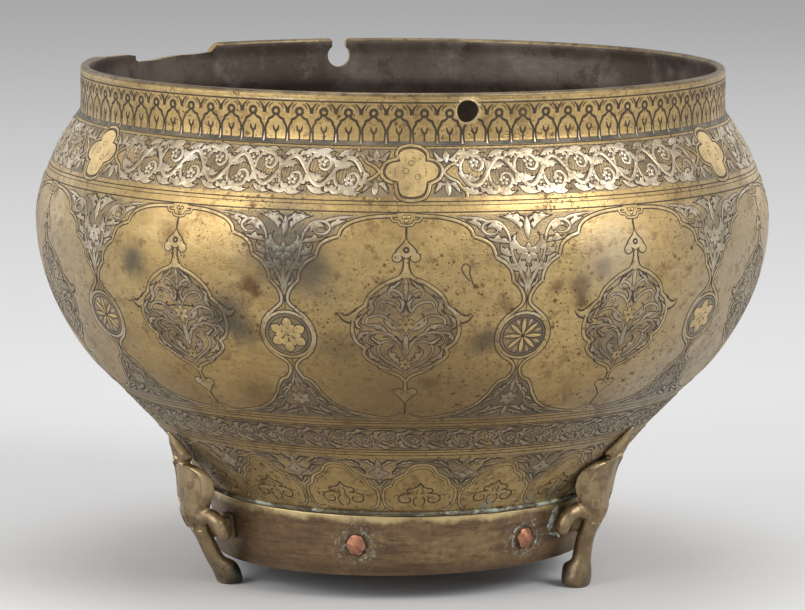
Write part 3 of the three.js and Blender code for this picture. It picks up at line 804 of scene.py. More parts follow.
class Drawing:
    """Flat ornament: degrees round the pail, mm along its outside, and mm proud of it."""

    def __init__(self, radius):
        self.radius = radius
        self.across = math.radians(1.0) * radius
        self.points = []
        self.faces = []

    def flat(self, path):
        return [(a * self.across, s) for a, s in path]

    def stroke(self, path, widths, dome=0.0, step=0.9, straight=False):
        """A band along a path, with its middle raised by the dome."""
        path = self.flat(path)
        line = along_line(path, step) if straight else smoothed(path, step)
        start = len(self.points)
        rows = (-0.5, 0.0, 0.5) if dome else (-0.5, 0.5)
        lengths = [0.0]
        for a, b in zip(line, line[1:]):
            lengths.append(lengths[-1] + (b - a).length)
        for p, square, length in zip(line, squares(line), lengths):
            width = width_at(widths, length / lengths[-1])
            for row in rows:
                q = p + square * width * row
                rise = dome * min(width, 1.0) if row == 0.0 else 0.0
                self.points.append((q.x, q.y, rise))
        self.faces += skin(len(line), len(rows), start)

    def leaf(self, path, width, dome=0.22):
        self.stroke(path, [w * width for w in LEAF], dome, 0.8)

    def tendril(self, path, width):
        self.stroke(path, [w * width for w in TENDRIL], TENDRIL_DOME, 0.8)

    def lobed(self, path, width, lobes, hand, grow=0.0):
        """Half a palmette: plain along its spine, lobed along the side that the hand points to."""
        line = smoothed(self.flat(path), 0.55)
        start = len(self.points)
        last = len(line) - 1
        for i, (p, square) in enumerate(zip(line, squares(line))):
            full = width * math.sin(math.pi * min(0.05 + 1.1 * i / last, 1.0)) ** 0.7
            outer = full * (0.6 + 0.4 * abs(math.sin(math.pi * lobes * i / last))) + grow
            rows = [(-0.16 * full - grow, 0.0), (0.4 * outer, PALMETTE_DOME), (outer, 0.0)]
            for reach, rise in rows if hand > 0 else reversed(rows):
                q = p + square * reach * hand
                self.points.append((q.x, q.y, rise))
        self.faces += skin(len(line), 3, start)

    def straight_field(self, outline):
        """A filled outline with straight sides."""
        flat = self.flat(outline)
        self.field(along_line([*flat, flat[0]], 1.5)[:-1])

    def field(self, ring, spacing=2.0):
        """A filled outline, with points inside so that it follows the body."""
        count = len(ring)
        inside = []
        low = (min(p.x for p in ring), min(p.y for p in ring))
        high = (max(p.x for p in ring), max(p.y for p in ring))
        for i in range(int((high[0] - low[0]) / spacing) + 1):
            for j in range(int((high[1] - low[1]) / spacing) + 1):
                p = Vector((low[0] + (i + 0.5) * spacing, low[1] + (j + 0.5) * spacing))
                if within(p, ring) and min((p - q).length for q in ring) > spacing * 0.4:
                    inside.append(p)
        edges = [(i, (i + 1) % count) for i in range(count)]
        points, _, faces, *_ = geometry.delaunay_2d_cdt(ring + inside, edges, [list(range(count))], 1, 1e-4)
        start = len(self.points)
        self.points += [(p.x, p.y, 0.0) for p in points]
        for face in faces:
            a, b, c = (points[i] for i in face[:3])
            turn = (b - a).cross(c - a)
            corner = [start + i for i in face]
            self.faces.append(tuple(corner if turn > 0 else reversed(corner)))

    def shape(self, pieces, spacing=2.0):
        """A field whose edge is made of smooth pieces joined at sharp points."""
        ring = []
        for piece in pieces:
            ring += smoothed(self.flat(piece), 1.0)[:-1]
        self.field(ring, spacing)

    def disc(self, centre, radius, sides=16, dome=0.0):
        start = len(self.points)
        x, y = centre[0] * self.across, centre[1]
        self.points.append((x, y, dome))
        for i, turn in enumerate(turns(sides)):
            self.points.append((x + radius * math.cos(turn), y + radius * math.sin(turn), 0.0))
            self.faces.append((start, start + 1 + i, start + 1 + (i + 1) % sides))

    def off(self, centre, distance, turn):
        """The place at a distance in mm from a centre."""
        return (centre[0] + distance * math.cos(turn) / self.across, centre[1] + distance * math.sin(turn))

    def ring(self, centre, radius, width, dome=0.0, sides=32):
        self.stroke([self.off(centre, radius, turn) for turn in [*turns(sides), 2 * math.pi]], width, dome)

    def petals(self, centre, count, inner, outer, width, first=0.0, dome=0.2):
        for i in range(count):
            turn = math.radians(first + 360 * i / count)
            reaches = (inner, lerp(inner, outer, 0.33), lerp(inner, outer, 0.66), outer)
            self.leaf([self.off(centre, reach, turn) for reach in reaches], width, dome)

    def line_round(self, along, width, degrees, step=1.0):
        """A stretch of a line that runs all the way round."""
        count = max(1, round(degrees / step))
        start = len(self.points)
        for i in range(count + 1):
            x = (i / count - 0.5) * degrees * self.across
            self.points += [(x, along - width / 2, 0.0), (x, along + width / 2, 0.0)]
        self.faces += skin(count + 1, 2, start)

    def strip_round(self, low, high, degrees):
        """A strip in rows about 1.5 mm high, so that it follows the body."""
        rows = max(1, math.ceil((high - low) / 1.5))
        for i in range(rows):
            a = lerp(low, high, i / rows)
            b = lerp(low, high, (i + 1) / rows)
            self.line_round((a + b) / 2, b - a, degrees)


def within(point, ring):
    inside = False
    for a, b in zip(ring, ring[1:] + ring[:1]):
        if (a.y > point.y) != (b.y > point.y):
            if point.x < (b.x - a.x) * (point.y - a.y) / (b.y - a.y) + a.x:
                inside = not inside
    return inside


def profile_line():
    """The body's outside as a line of edges, for the wrapping tree to sample."""
    points = [(r * MM, 0.0, z * MM) for r, z in OUTSIDE]
    mesh = bpy.data.meshes.new("profile")
    mesh.from_pydata(points, [(i, i + 1) for i in range(len(points) - 1)], [])
    return linked("profile", mesh)


def wrapping_tree():
    """Geometry Nodes that repeat flat ornament, wrap it round the body and lift it off by a hair."""
    tree = bpy.data.node_groups.new("wrap round the body", "GeometryNodeTree")
    sockets = {
        "Ornament": "Geometry", "Profile": "Object", "Repeats": "Int", "Pitch": "Float",
        "First turn": "Float", "Proud": "Float", "Finish": "Material",
    }
    for label, kind in sockets.items():
        tree.interface.new_socket(label, in_out="INPUT", socket_type=f"NodeSocket{kind}")
    tree.interface.new_socket("Wrapped", in_out="OUTPUT", socket_type="NodeSocketGeometry")

    def calc(operation, *terms):
        return added(tree, "ShaderNodeMath", {"operation": operation}, *terms)[0]

    given = added(tree, "NodeGroupInput")
    first = added(tree, "ShaderNodeCombineXYZ", X=given["First turn"])[0]
    pitch = added(tree, "ShaderNodeCombineXYZ", X=given["Pitch"])[0]
    count = given["Repeats"]
    places = added(tree, "GeometryNodeMeshLine", Count=count, Start_Location=first, Offset=pitch)[0]
    copies = added(tree, "GeometryNodeInstanceOnPoints", Points=places, Instance=given["Ornament"])[0]
    real = added(tree, "GeometryNodeRealizeInstances", None, copies)[0]

    flat = added(tree, "ShaderNodeSeparateXYZ", None, added(tree, "GeometryNodeInputPosition")[0])
    source = added(tree, "GeometryNodeObjectInfo", Object=given["Profile"])["Geometry"]
    curve = added(tree, "GeometryNodeMeshToCurve", None, source)[0]
    by_length = {"mode": "LENGTH"}
    sample = added(tree, "GeometryNodeSampleCurve", by_length, Curves=curve, Length=flat["Y"])
    at = added(tree, "ShaderNodeSeparateXYZ", None, sample["Position"])
    along = added(tree, "ShaderNodeSeparateXYZ", None, sample["Tangent"])

    lift = calc("ADD", flat["Z"], given["Proud"])
    radius = calc("ADD", at["X"], calc("MULTIPLY", lift, along["Z"]))
    height = calc("SUBTRACT", at["Z"], calc("MULTIPLY", lift, along["X"]))
    x, y = (calc("MULTIPLY", radius, calc(wave, flat["X"])) for wave in ("COSINE", "SINE"))
    wrapped = added(tree, "ShaderNodeCombineXYZ", X=x, Y=y, Z=height)[0]
    moved = added(tree, "GeometryNodeSetPosition", Geometry=real, Position=wrapped)[0]
    finished = added(tree, "GeometryNodeSetMaterial", Geometry=moved, Material=given["Finish"])[0]
    added(tree, "NodeGroupOutput", Wrapped=finished)
    return tree


def brass_is_missing(point):
    """Whether a point of the neck lies in a hole or where the rim has broken away."""
    x, y, z = (c / MM for c in point)
    if z < RIM_HEIGHT - 12:
        return False
    turn = math.degrees(math.atan2(y, x))
    for angle, height, radius, throat in (
        (HANDLE_HOLE_ANGLE, HANDLE_HOLE_HEIGHT, HANDLE_HOLE_RADIUS, 0.0),
        (BROKEN_HOLE_ANGLE, BROKEN_HOLE_HEIGHT, BROKEN_HOLE_RADIUS, BREAK_WIDTH / 2),
    ):
        across = math.radians(turn - angle) * RIM_RADIUS
        if math.hypot(across, z - height) < radius + 0.1 or (abs(across) < throat + 0.1 and z > height):
            return True
    for (start, low), (end, high) in zip(BROKEN_RIM, BROKEN_RIM[1:]):
        if start <= turn <= end:
            return z > RIM_HEIGHT - 0.1 + lerp(low, high, (turn - start) / (end - start))
    return False


def trim(mesh):
    """Takes the ornament off where there is no brass under it."""
    bmesh.ops.delete(mesh, geom=[v for v in mesh.verts if brass_is_missing(v.co)], context="VERTS")


def wrapped(name, drawing, repeats, centre, proud, finish, tree, profile):
    """Repeats a drawing evenly round the body, its middle at so many degrees off the front."""
    mesh = bpy.data.meshes.new(name)
    points = [(x / drawing.radius, (s - BELOW_LEDGE) * MM, z * MM) for x, s, z in drawing.points]
    mesh.from_pydata(points, [], drawing.faces)
    mesh.polygons.foreach_set("use_smooth", [True] * len(mesh.polygons))
    thing = linked(name, mesh)
    wrap = thing.modifiers.new("wrap", "NODES")
    wrap.node_group = tree
    values = {
        "Profile": profile,
        "Repeats": repeats,
        "Pitch": math.radians(360.0 / repeats),
        "First turn": math.radians(FRONT + centre),
        "Proud": proud * MM,
        "Finish": finish,
    }
    for socket in tree.interface.items_tree:
        if socket.in_out == "INPUT" and socket.name in values:
            wrap[socket.identifier] = values[socket.name]
    return placed(reworked(settled(thing), trim), None)


# Heights above the brass, in mm.
PROUD = {"ground": 0.02, "line": 0.035, "gilt": 0.05, "border": 0.05, "silver": 0.06, "vein": 0.09}
OUTLINE = 0.26


class Band:
    """One band of ornament: a drawing for each finish, wrapped together."""

    def __init__(self, radius):
        self.radius = radius
        self.layers = {layer: Drawing(radius) for layer in PROUD}
        for layer, drawing in self.layers.items():
            setattr(self, layer, drawing)
        self.across = self.line.across

    def wrap(self, name, repeats, centre, finishes, tree, profile):
        for layer, drawing in self.layers.items():
            if drawing.faces:
                piece = f"{name}_{layer}"
                wrapped(piece, drawing, repeats, centre, PROUD[layer], finishes[layer], tree, profile)

    def edged(self, pieces, width=0.8, edge=0.36, dome=0.1):
        """A raised line with an engraved line on each side, in smooth pieces that meet at points."""
        for piece in pieces:
            self.line.stroke(piece, width + 2 * edge)
            self.border.stroke(piece, width, dome)

    def pair(self, path, width, layer="line"):
        """A stroke and its mirror image."""
        for side in (1, -1):
            self.layers[layer].stroke(flipped(path, side), width)

    def leaf(self, path, width):
        """A leaf with an engraved outline and, where it is wide enough, a vein."""
        self.line.stroke(path, [w * width + 2 * OUTLINE for w in LEAF])
        self.silver.leaf(path, width)
        if width > 1.2:
            self.vein.stroke(path[:-1], (0.15, 0.28, 0.12))

    def tendril(self, path, width):
        self.line.stroke(path, [w * width + 2 * OUTLINE for w in TENDRIL])
        self.silver.tendril(path, width)

    def palmette(self, path, width, lobes, hand):
        """A lobed leaf with an engraved outline and a cut between its lobes and its spine."""
        self.line.lobed(path, width, lobes, hand, OUTLINE)
        self.silver.lobed(path, width, lobes, hand)
        self.vein.stroke(path, (0.12, 0.3, 0.2))

    def flower(self, centre, count, radius, width, layer="silver", first=90.0):
        self.line.petals(centre, count, 0.2, radius + OUTLINE, width + 2 * OUTLINE, first, 0.0)
        self.layers[layer].petals(centre, count, 0.3, radius, width, first)
        self.vein.disc(centre, 0.22 * radius, 8)

    def hatched(self, low, high, start, end, step, lean):
        """Fine slanting strokes between two heights."""
        count = round((end - start) / step)
        for i in range(count):
            a = start + (i + 0.5) * step
            self.line.stroke([(a, low), (a + lean, high)], 0.16, step=3.0, straight=True)


def mirrored(pieces):
    return [[(-a, s) for a, s in piece] for piece in pieces]


def turned_back(pieces):
    """The same pieces run the other way, from the last to the first."""
    return [piece[::-1] for piece in reversed(pieces)]


def flipped(path, side):
    return [(a * side, s) for a, s in path]


def inside_of(pieces, centre, share):
    """The pieces drawn in towards a centre."""
    return [[(lerp(centre[0], a, share), lerp(centre[1], s, share)) for a, s in piece] for piece in pieces]


def foliage(band, leaves, stems=(), width=1.0, full=1.0):
    """Both sides of a spray of stems and leaves, its leaves as full as told."""
    for side in (1, -1):
        for stem in stems:
            band.tendril(flipped(stem, side), width)
        for path, wide, lobes, hand in leaves:
            band.palmette(flipped(path, side), wide * full, lobes, hand * side)


def neck_arcade(band):
    """Pointed arches that stand foot to foot, with a small ring in each and a notch over each pillar."""
    pitch = 360.0 / 86
    half = pitch / 2
    band.line.ring((0, 173.6), 1.12, 0.95, sides=14)
    arch = [(0.35, 172.2), (0.75, 171.4), (1.3, 170.9), (1.45, 169.9), (1.8, 168.8), (half, 166.2)]
    band.pair(arch, (0.7, 0.95, 0.8, 0.75, 1.05))
    band.pair([(0.0, 166.8), (0.35, 167.6), (0.5, 169.0)], (0.8, 0.75, 0.3))
    notch = [(half, 173.0), (half - 0.2, 174.6), (half - 0.6, 175.8), (half - 1.0, 176.5)]
    band.pair(notch, (1.2, 0.9, 0.65, 0.35))
    band.pair([(1.3, 174.4), (1.05, 175.5), (0.5, 176.2)], (0.25, 0.45, 0.25))
    band.line.stroke([(0, 167.2), (0, 165.6), (0, 164.2)], (0.7, 0.55, 0.6))
    band.line.stroke([(half, 167.2), (half, 165.4), (half, 163.9)], (1.5, 1.6, 1.9))
    band.silver.stroke([(half, 166.6), (half, 165.0), (half, 163.4)], (0.2, 0.45, 0.5), 0.1)
    band.line.line_round(177.1, 0.5, pitch, 0.5)
    # A bright strip just under the top of the lip: a painted highlight on its rounding.
    band.border.line_round(177.75, 0.5, pitch, 0.5)


def neck_foot(band):
    band.ground.strip_round(162.9, 164.5, 4)
    band.line.line_round(162.6, 0.4, 4)
    band.line.line_round(161.4, 0.2, 4)


# Outline of a four-lobed cartouche, from its top lobe to the right.
QUATREFOIL = [
    [(-1.7, 157.0), (-2.0, 159.3), (-1.4, 160.9), (0, 161.6), (1.4, 160.9), (2.2, 159.2), (2.2, 157.0)],
    [(2.2, 157.0), (3.3, 156.6), (4.1, 155.0), (4.2, 153.2), (3.7, 151.1), (2.3, 149.7)],
    [(2.3, 149.7), (2.1, 147.0), (1.5, 145.2), (0, 144.5), (-1.4, 145.1), (-1.9, 147.0), (-2.0, 149.8)],
    [(-2.0, 149.8), (-3.3, 150.7), (-4.0, 152.4), (-3.9, 154.6), (-3.3, 156.2), (-1.7, 157.0)],
]


def quatrefoil(band):
    middle = 153.0
    band.gilt.shape(turned_back(QUATREFOIL))
    for lobe in QUATREFOIL:
        band.line.stroke(lobe, 0.85)
        outer = []
        for a, s in lobe:
            away = Vector((a * band.across, s - middle))
            away = away * (1 + 1.35 / away.length)
            outer.append((away.x / band.across, away.y + middle))
        band.line.stroke(outer, 1.7)
        band.border.stroke(outer, 0.85, 0.12)
    for a, s in ((0, 156.4), (-0.9, 153.6), (1.0, 151.4)):
        band.vein.ring((a, s), 1.0, 0.16, sides=14)
    for a in (-2.6, 2.2):
        band.vein.stroke([(a, 151.6), (a + 0.1, 153.2), (a, 154.8)], 0.16)


def cartouche_ends(band):
    """What lies between a quatrefoil and the long cartouche on each side of it."""
    over = [(2.8, 161.9), (3.4, 159.0), (4.2, 157.6), (5.4, 155.4), (6.6, 157.4), (7.4, 159.2), (7.8, 161.9)]
    under = [(8.4, 144.3), (7.8, 146.4), (6.9, 148.6), (5.4, 151.0), (4.4, 149.4), (3.2, 147.0), (2.8, 144.3)]
    inner = [(9.6, 160.6), (8.9, 158.2), (7.7, 155.8), (7.3, 153.2), (7.9, 150.6), (9.1, 148.2), (9.8, 145.8)]
    bracket = [(4.9, 0.0), (5.8, 1.9), (7.1, 3.6), (7.6, 5.2), (8.4, 7.0), (8.5, 8.8)]
    curl = ((0.2, 1.0), (1.0, 1.6), (1.5, 3.0), (2.1, 4.3))
    for side in (1, -1):
        for ground in (over, under):
            band.ground.straight_field(flipped(ground, side))
        for up, reach in ((1, 1.0), (-1, 1.06)):
            band.edged([flipped([(a, 153.2 + up * s) for a, s in bracket], side)], 0.85, 0.42)
            tip, foot = 153.2 + up * 7.9 * reach, 153.2 + up * 3.4
            middle = [(5.5, foot), (5.55, lerp(foot, tip, 0.4)), (5.6, lerp(foot, tip, 0.7)), (5.6, tip)]
            band.leaf(flipped(middle, side), 2.1)
            for lean in (1, -1):
                leaf = [(5.5 + a * lean, foot + s * up) for a, s in curl]
                band.palmette(flipped(leaf, side), 1.9, 2, -lean * side * up)
    band.pair(inner, 0.35)


LONG_CARTOUCHE_END = [
    (19.6, 144.4), (20.6, 147.2), (22.6, 149.4), (23.6, 153.0), (22.8, 156.4), (20.8, 158.8), (20.0, 161.9),
]


def long_cartouche(band):
    """A vine that winds along a hatched ground, with a curl, lobed leaves and berries in each turn."""
    band.ground.straight_field([*LONG_CARTOUCHE_END, *reversed(flipped(LONG_CARTOUCHE_END, -1))])
    band.hatched(145.6, 160.8, -20.4, 19.4, 0.5, 1.0)
    middle = 153.1
    crests = [-20.25 + 4.5 * i for i in range(10)]
    vine = [(-22.4, middle)]
    for i, a in enumerate(crests):
        side = 1 if i % 2 else -1
        vine += [(a - 0.9, middle + 4.2 * side), (a + 0.9, middle + 4.2 * side)]
    vine.append((22.4, middle))
    band.line.stroke(vine, 2.2)
    band.silver.stroke(vine, 1.5, 0.3)
    shake = random.Random(11)
    for i, a in enumerate(crests):
        vine_turn(band, a, middle, 1 if i % 2 else -1, shake)


# What fills a hollow of the vine, in mm across and up from its middle.
VINE_CURL = [
    (-4.4, -0.2), (-4.0, -3.6), (-1.6, -6.2), (1.9, -5.6),
    (3.3, -2.8), (1.9, -0.6), (-0.3, -1.2), (-0.4, -3.0),
]
VINE_LEAVES = (
    ([(-3.2, -4.8), (-1.2, -7.4), (1.8, -8.0), (4.8, -6.8)], 3.0, 5, 1),
    ([(-3.8, 0.8), (-2.2, 2.8), (0.4, 3.0), (2.6, 1.2)], 2.6, 4, -1),
    ([(2.6, -4.6), (4.4, -3.0), (4.6, -0.4), (3.6, 1.8)], 2.3, 4, -1),
    ([(-4.0, 5.4), (-2.0, 7.2), (0.8, 7.8), (3.6, 7.4)], 2.4, 4, -1),
    ([(1.6, 5.0), (3.4, 6.2), (5.2, 5.4), (6.2, 3.4)], 2.2, 3, 1),
)


def vine_turn(band, a, middle, side, shake):
    """What fills one hollow of the vine, which lies under its crest where the side is up."""
    grow = shake.uniform(0.92, 1.12)

    def at(path):
        return [(a + x * grow / band.across, middle + y * side) for x, y in path]

    band.tendril(at(VINE_CURL), 1.5)
    for path, width, lobes, hand in VINE_LEAVES:
        band.palmette(at(path), width * grow, lobes, hand * side)
    band.flower((a + 0.3 / band.across, middle - 3.3 * side), 5, 1.9 * grow, 1.3)
    band.leaf(at([(-0.6, -5.8), (-2.4, -7.0), (-4.2, -7.2), (-5.8, -5.8)]), 1.9)
    for berry in at([(-5.3, -2.6), (-5.9, -4.2), (-4.9, -5.4)]):
        band.line.disc(berry, 0.85, 10)
        band.silver.disc(berry, 0.55, 10, 0.2)


# Right half of a big cartouche's outline, in smooth pieces that meet at points.
CARTOUCHE_TOP = [
    [(1.3, 138.2), (5.2, 137.5), (8.0, 135.8), (9.4, 133.6), (9.9, 131.0)],
    [(9.9, 131.0), (11.4, 129.8), (12.6, 127.8), (13.2, 124.0)],
    [(13.2, 124.0), (14.7, 121.8), (15.6, 118.8), (15.8, 116.0)],
    [(15.8, 116.0), (16.8, 113.8), (17.5, 110.8), (17.4, 108.2), (16.4, 106.0), (15.2, 103.8)],
]
CARTOUCHE_SIDE = [[(15.2, 103.8), (14.3, 101.0), (13.8, 96.4), (14.3, 91.6), (15.4, 88.6)]]
CARTOUCHE_FOOT = [
    [(15.4, 88.6), (16.9, 86.3), (17.5, 83.8), (17.2, 81.2), (16.6, 79.2)],
    [(16.6, 79.2), (15.5, 78.0), (14.6, 75.0), (14.2, 72.8)],
    [(14.2, 72.8), (13.4, 70.2), (12.3, 67.2), (11.0, 65.0)],
    [(11.0, 65.0), (9.3, 62.9), (5.6, 60.5), (2.6, 59.6)],
]
MEDALLION = [
    [(0.6, 118.6), (1.1, 117.5), (2.7, 116.0), (4.2, 113.8), (5.4, 111.2), (6.0, 108.0)],
    [(6.0, 108.0), (7.1, 106.0), (7.7, 103.0), (8.0, 99.5), (7.8, 96.5), (7.2, 94.0), (6.1, 92.3)],
    [(6.1, 92.3), (6.5, 90.5), (5.9, 88.2), (4.7, 86.2), (4.1, 85.4)],
    [(4.1, 85.4), (3.4, 83.8), (2.0, 82.3), (0.8, 80.9), (0.2, 79.0)],
]


def big_cartouche(band):
    half = CARTOUCHE_TOP + CARTOUCHE_SIDE + CARTOUCHE_FOOT
    for pieces in (half, mirrored(half)):
        band.edged(pieces, 0.85, 0.42)
    for side in (1, -1):
        crown = [(0.0, 134.8), (0.9, 135.1), (1.2, 136.2), (2.0, 136.4), (2.3, 138.2)]
        band.edged([flipped(crown, side)], 0.6, 0.34)
        foot = [(0.5, 62.5), (1.2, 62.2), (1.6, 61.2), (2.4, 61.0), (2.8, 59.4)]
        band.edged([flipped(foot, side)], 0.45, 0.3)
    band.flower((0, 137.2), 3, 1.4, 1.1, "border", -90.0)
    band.flower((0, 60.2), 3, 1.6, 1.1, "border", 90.0)


def pendant(band, drop, centre, share, aside, height, radius):
    """A drop with a raised middle, and a lobe on each side of it."""
    for side in (1, -1):
        band.line.disc((aside * side, height), radius, 14)
        band.border.disc(((aside + 0.02) * side, height), radius - 0.4, 14, 0.15)
    ring = [drop, *turned_back(mirrored([drop]))]
    band.line.shape(ring)
    band.border.shape(inside_of(ring, centre, share), 1.0)


def upper_pendant(band):
    """A drop with an eye over two side lobes, on a stem that runs down to the medallion."""
    band.line.stroke([(0, 135.0), (0, 132.6), (0, 130.4)], (0.7, 0.8, 0.6))
    band.pair([(0.42, 123.8), (0.45, 121.4), (0.75, 119.4), (1.1, 118.0)], 0.5)
    drop = [(0, 131.2), (0.45, 129.4), (1.1, 128.0), (1.7, 126.2), (1.4, 124.6), (0, 123.8)]
    pendant(band, drop, (0, 126.4), 0.84, 1.3, 124.4, 1.85)
    band.vein.ring((0, 126.8), 0.75, 0.7, sides=12)
    band.border.stroke([(0, 124.0), (0, 121.2), (0, 119.2), (0, 117.6)], (1.2, 1.1, 1.6, 3.0), 0.1)
    band.pair([(0.1, 123.4), (0.5, 124.6), (1.1, 124.9)], (0.25, 0.3, 0.1), "vein")


def lower_pendant(band):
    """Two side lobes over a drop that ends in a thin stem."""
    band.pair([(0.25, 79.8), (0.3, 77.2), (0.45, 75.2)], 0.45)
    drop = [(0, 75.4), (1.2, 75.0), (1.6, 73.2), (1.1, 71.2), (0.4, 69.4), (0, 67.6)]
    pendant(band, drop, (0, 72.6), 0.82, 1.2, 74.0, 1.9)
    band.border.stroke([(0, 79.6), (0, 77.0), (0, 74.6)], (0.7, 0.7, 1.0), 0.1)
    band.pair([(0.1, 74.6), (0.5, 73.4), (1.1, 73.2)], (0.25, 0.3, 0.1), "vein")
    band.line.stroke([(0, 68.4), (0, 65.4), (0, 62.4)], (0.8, 0.6, 1.0))


# One side of the arabesque in a medallion: stems, then lobed leaves with their width, lobes and hand.
MEDALLION_STEMS = (
    [(0.2, 83.0), (1.8, 85.8), (3.6, 88.8), (4.2, 92.6), (3.0, 95.2), (1.6, 94.0), (1.9, 92.0)],
    [(0.2, 90.0), (1.6, 96.4), (4.0, 98.6), (5.7, 97.4), (5.6, 94.4), (4.6, 93.8)],
    [(0.2, 96.0), (1.4, 101.0), (3.6, 104.6), (5.6, 103.6), (5.7, 101.0), (4.2, 100.4), (3.6, 102.0)],
    [(0.3, 104.0), (1.6, 108.4), (3.5, 109.6), (4.2, 107.6), (3.0, 106.4)],
    [(0.2, 109.0), (0.8, 112.4), (2.0, 113.6), (2.6, 112.0), (1.7, 111.0)],
)
MEDALLION_LEAVES = (
    ([(0.9, 86.2), (2.0, 88.4), (2.6, 91.0), (1.9, 93.4)], 2.2, 3, 1),
    ([(3.6, 87.6), (4.8, 89.2), (5.5, 91.4), (5.0, 93.4)], 1.9, 3, -1),
    ([(5.3, 98.8), (6.7, 98.2), (7.2, 96.0), (6.2, 93.8)], 1.8, 3, -1),
    ([(2.6, 98.2), (3.4, 100.4), (4.6, 101.4), (6.4, 101.2)], 1.8, 3, -1),
    ([(5.6, 104.4), (4.8, 106.6), (4.9, 109.2), (3.9, 112.0)], 2.0, 4, -1),
    ([(0.9, 99.0), (2.3, 100.4), (3.1, 102.8), (2.3, 105.4)], 2.0, 3, 1),
    ([(1.1, 105.6), (0.6, 108.0), (1.0, 110.4), (2.0, 111.2)], 1.6, 3, 1),
    ([(2.7, 113.0), (1.6, 114.6), (0.9, 116.2), (0.4, 117.6)], 1.5, 2, -1),
    ([(2.2, 84.2), (3.4, 85.0), (4.5, 86.8), (4.8, 88.6)], 1.7, 3, -1),
    ([(6.5, 99.8), (7.2, 101.4), (6.7, 103.6), (5.9, 105.6)], 1.5, 3, -1),
    ([(3.2, 94.6), (4.2, 95.2), (5.0, 96.6), (4.4, 97.8)], 1.5, 2, -1),
    ([(0.5, 93.0), (1.2, 95.0), (2.4, 96.6), (3.4, 96.8)], 1.4, 3, 1),
)


def medallion(band):
    ring = MEDALLION + turned_back(mirrored(MEDALLION))
    band.ground.shape(turned_back(ring))
    for pieces in (MEDALLION, mirrored(MEDALLION)):
        band.edged(pieces, 1.0, 0.36, 0.14)
        for piece in inside_of(pieces, (0, 99.5), 0.86):
            band.line.stroke(piece, 0.32)
    band.pair([(6.3, 108.0), (7.4, 106.6), (8.0, 105.2), (9.0, 104.5), (9.7, 105.3)], (0.5, 0.8, 0.7, 0.4))
    band.pair([(7.8, 101.6), (8.7, 101.9), (9.5, 103.0), (10.0, 104.8)], (0.8, 0.7, 0.3))
    for side in (1, -1):
        band.border.leaf(flipped([(7.0, 106.2), (7.8, 104.4), (8.6, 103.2), (9.5, 104.0)], side), 1.9)
    foliage(band, MEDALLION_LEAVES, MEDALLION_STEMS, 0.85)
    band.flower((0, 86.0), 6, 2.4, 1.3, "border", 30)
    band.leaf([(0, 89.0), (0, 92.0), (0, 95.0), (0, 98.0)], 1.9)
    band.flower((0, 101.4), 6, 3.0, 1.6, "border")
    band.leaf([(0, 111.4), (0, 113.4), (0, 115.6), (0, 117.4)], 1.6)


# Right side of the foliage between two big cartouches, above and below, drawn from the middle.
UPPER_STEMS = (
    [(0.2, 112.6), (0.5, 116.0), (1.3, 119.6), (2.2, 123.2), (2.6, 127.0), (2.4, 130.6)],
    [(2.6, 127.6), (3.0, 131.8), (4.2, 135.2), (5.9, 135.8), (6.9, 133.8), (6.2, 131.8), (4.9, 131.8),
     (4.4, 133.4)],
    [(5.8, 135.8), (7.4, 136.8), (8.9, 137.3), (10.2, 137.6)],
)
UPPER_LEAVES = (
    ([(0.4, 126.4), (1.4, 127.6), (2.0, 129.8), (1.6, 132.2)], 2.3, 3, -1),
    ([(2.5, 124.4), (3.6, 125.0), (4.2, 126.8), (4.2, 129.0)], 1.9, 3, 1),
    ([(2.8, 128.6), (4.0, 129.2), (5.4, 129.6), (6.6, 131.0)], 1.7, 3, 1),
    ([(1.3, 119.4), (2.2, 120.0), (2.9, 121.6), (3.1, 123.6)], 1.7, 3, 1),
    ([(0.4, 118.6), (1.1, 120.6), (1.5, 122.6), (1.0, 124.6)], 1.9, 3, 1),
    ([(0.5, 113.8), (1.1, 114.8), (1.5, 116.4), (1.4, 118.2)], 1.2, 2, 1),
    ([(1.0, 133.0), (1.5, 135.0), (2.6, 136.6), (4.2, 137.5)], 2.1, 4, 1),
    ([(4.0, 132.2), (4.9, 134.0), (5.7, 134.0), (6.3, 133.0)], 2.0, 3, 1),
    ([(7.2, 133.4), (7.6, 134.8), (8.5, 135.6), (9.3, 136.4)], 1.7, 3, 1),
    ([(0.4, 135.6), (0.9, 136.6), (1.8, 137.4), (3.0, 138.0)], 1.3, 3, 1),
    ([(2.9, 122.0), (3.4, 123.2), (3.9, 124.0), (4.9, 124.6)], 1.4, 2, 1),
)
LOWER_STEMS = (
    [(0.2, 80.6), (0.6, 77.6), (1.6, 74.6), (2.6, 71.6), (2.9, 68.4)],
    [(2.9, 69.0), (3.8, 66.4), (5.4, 64.2), (7.6, 62.6), (10.2, 61.2), (12.8, 60.3)],
)
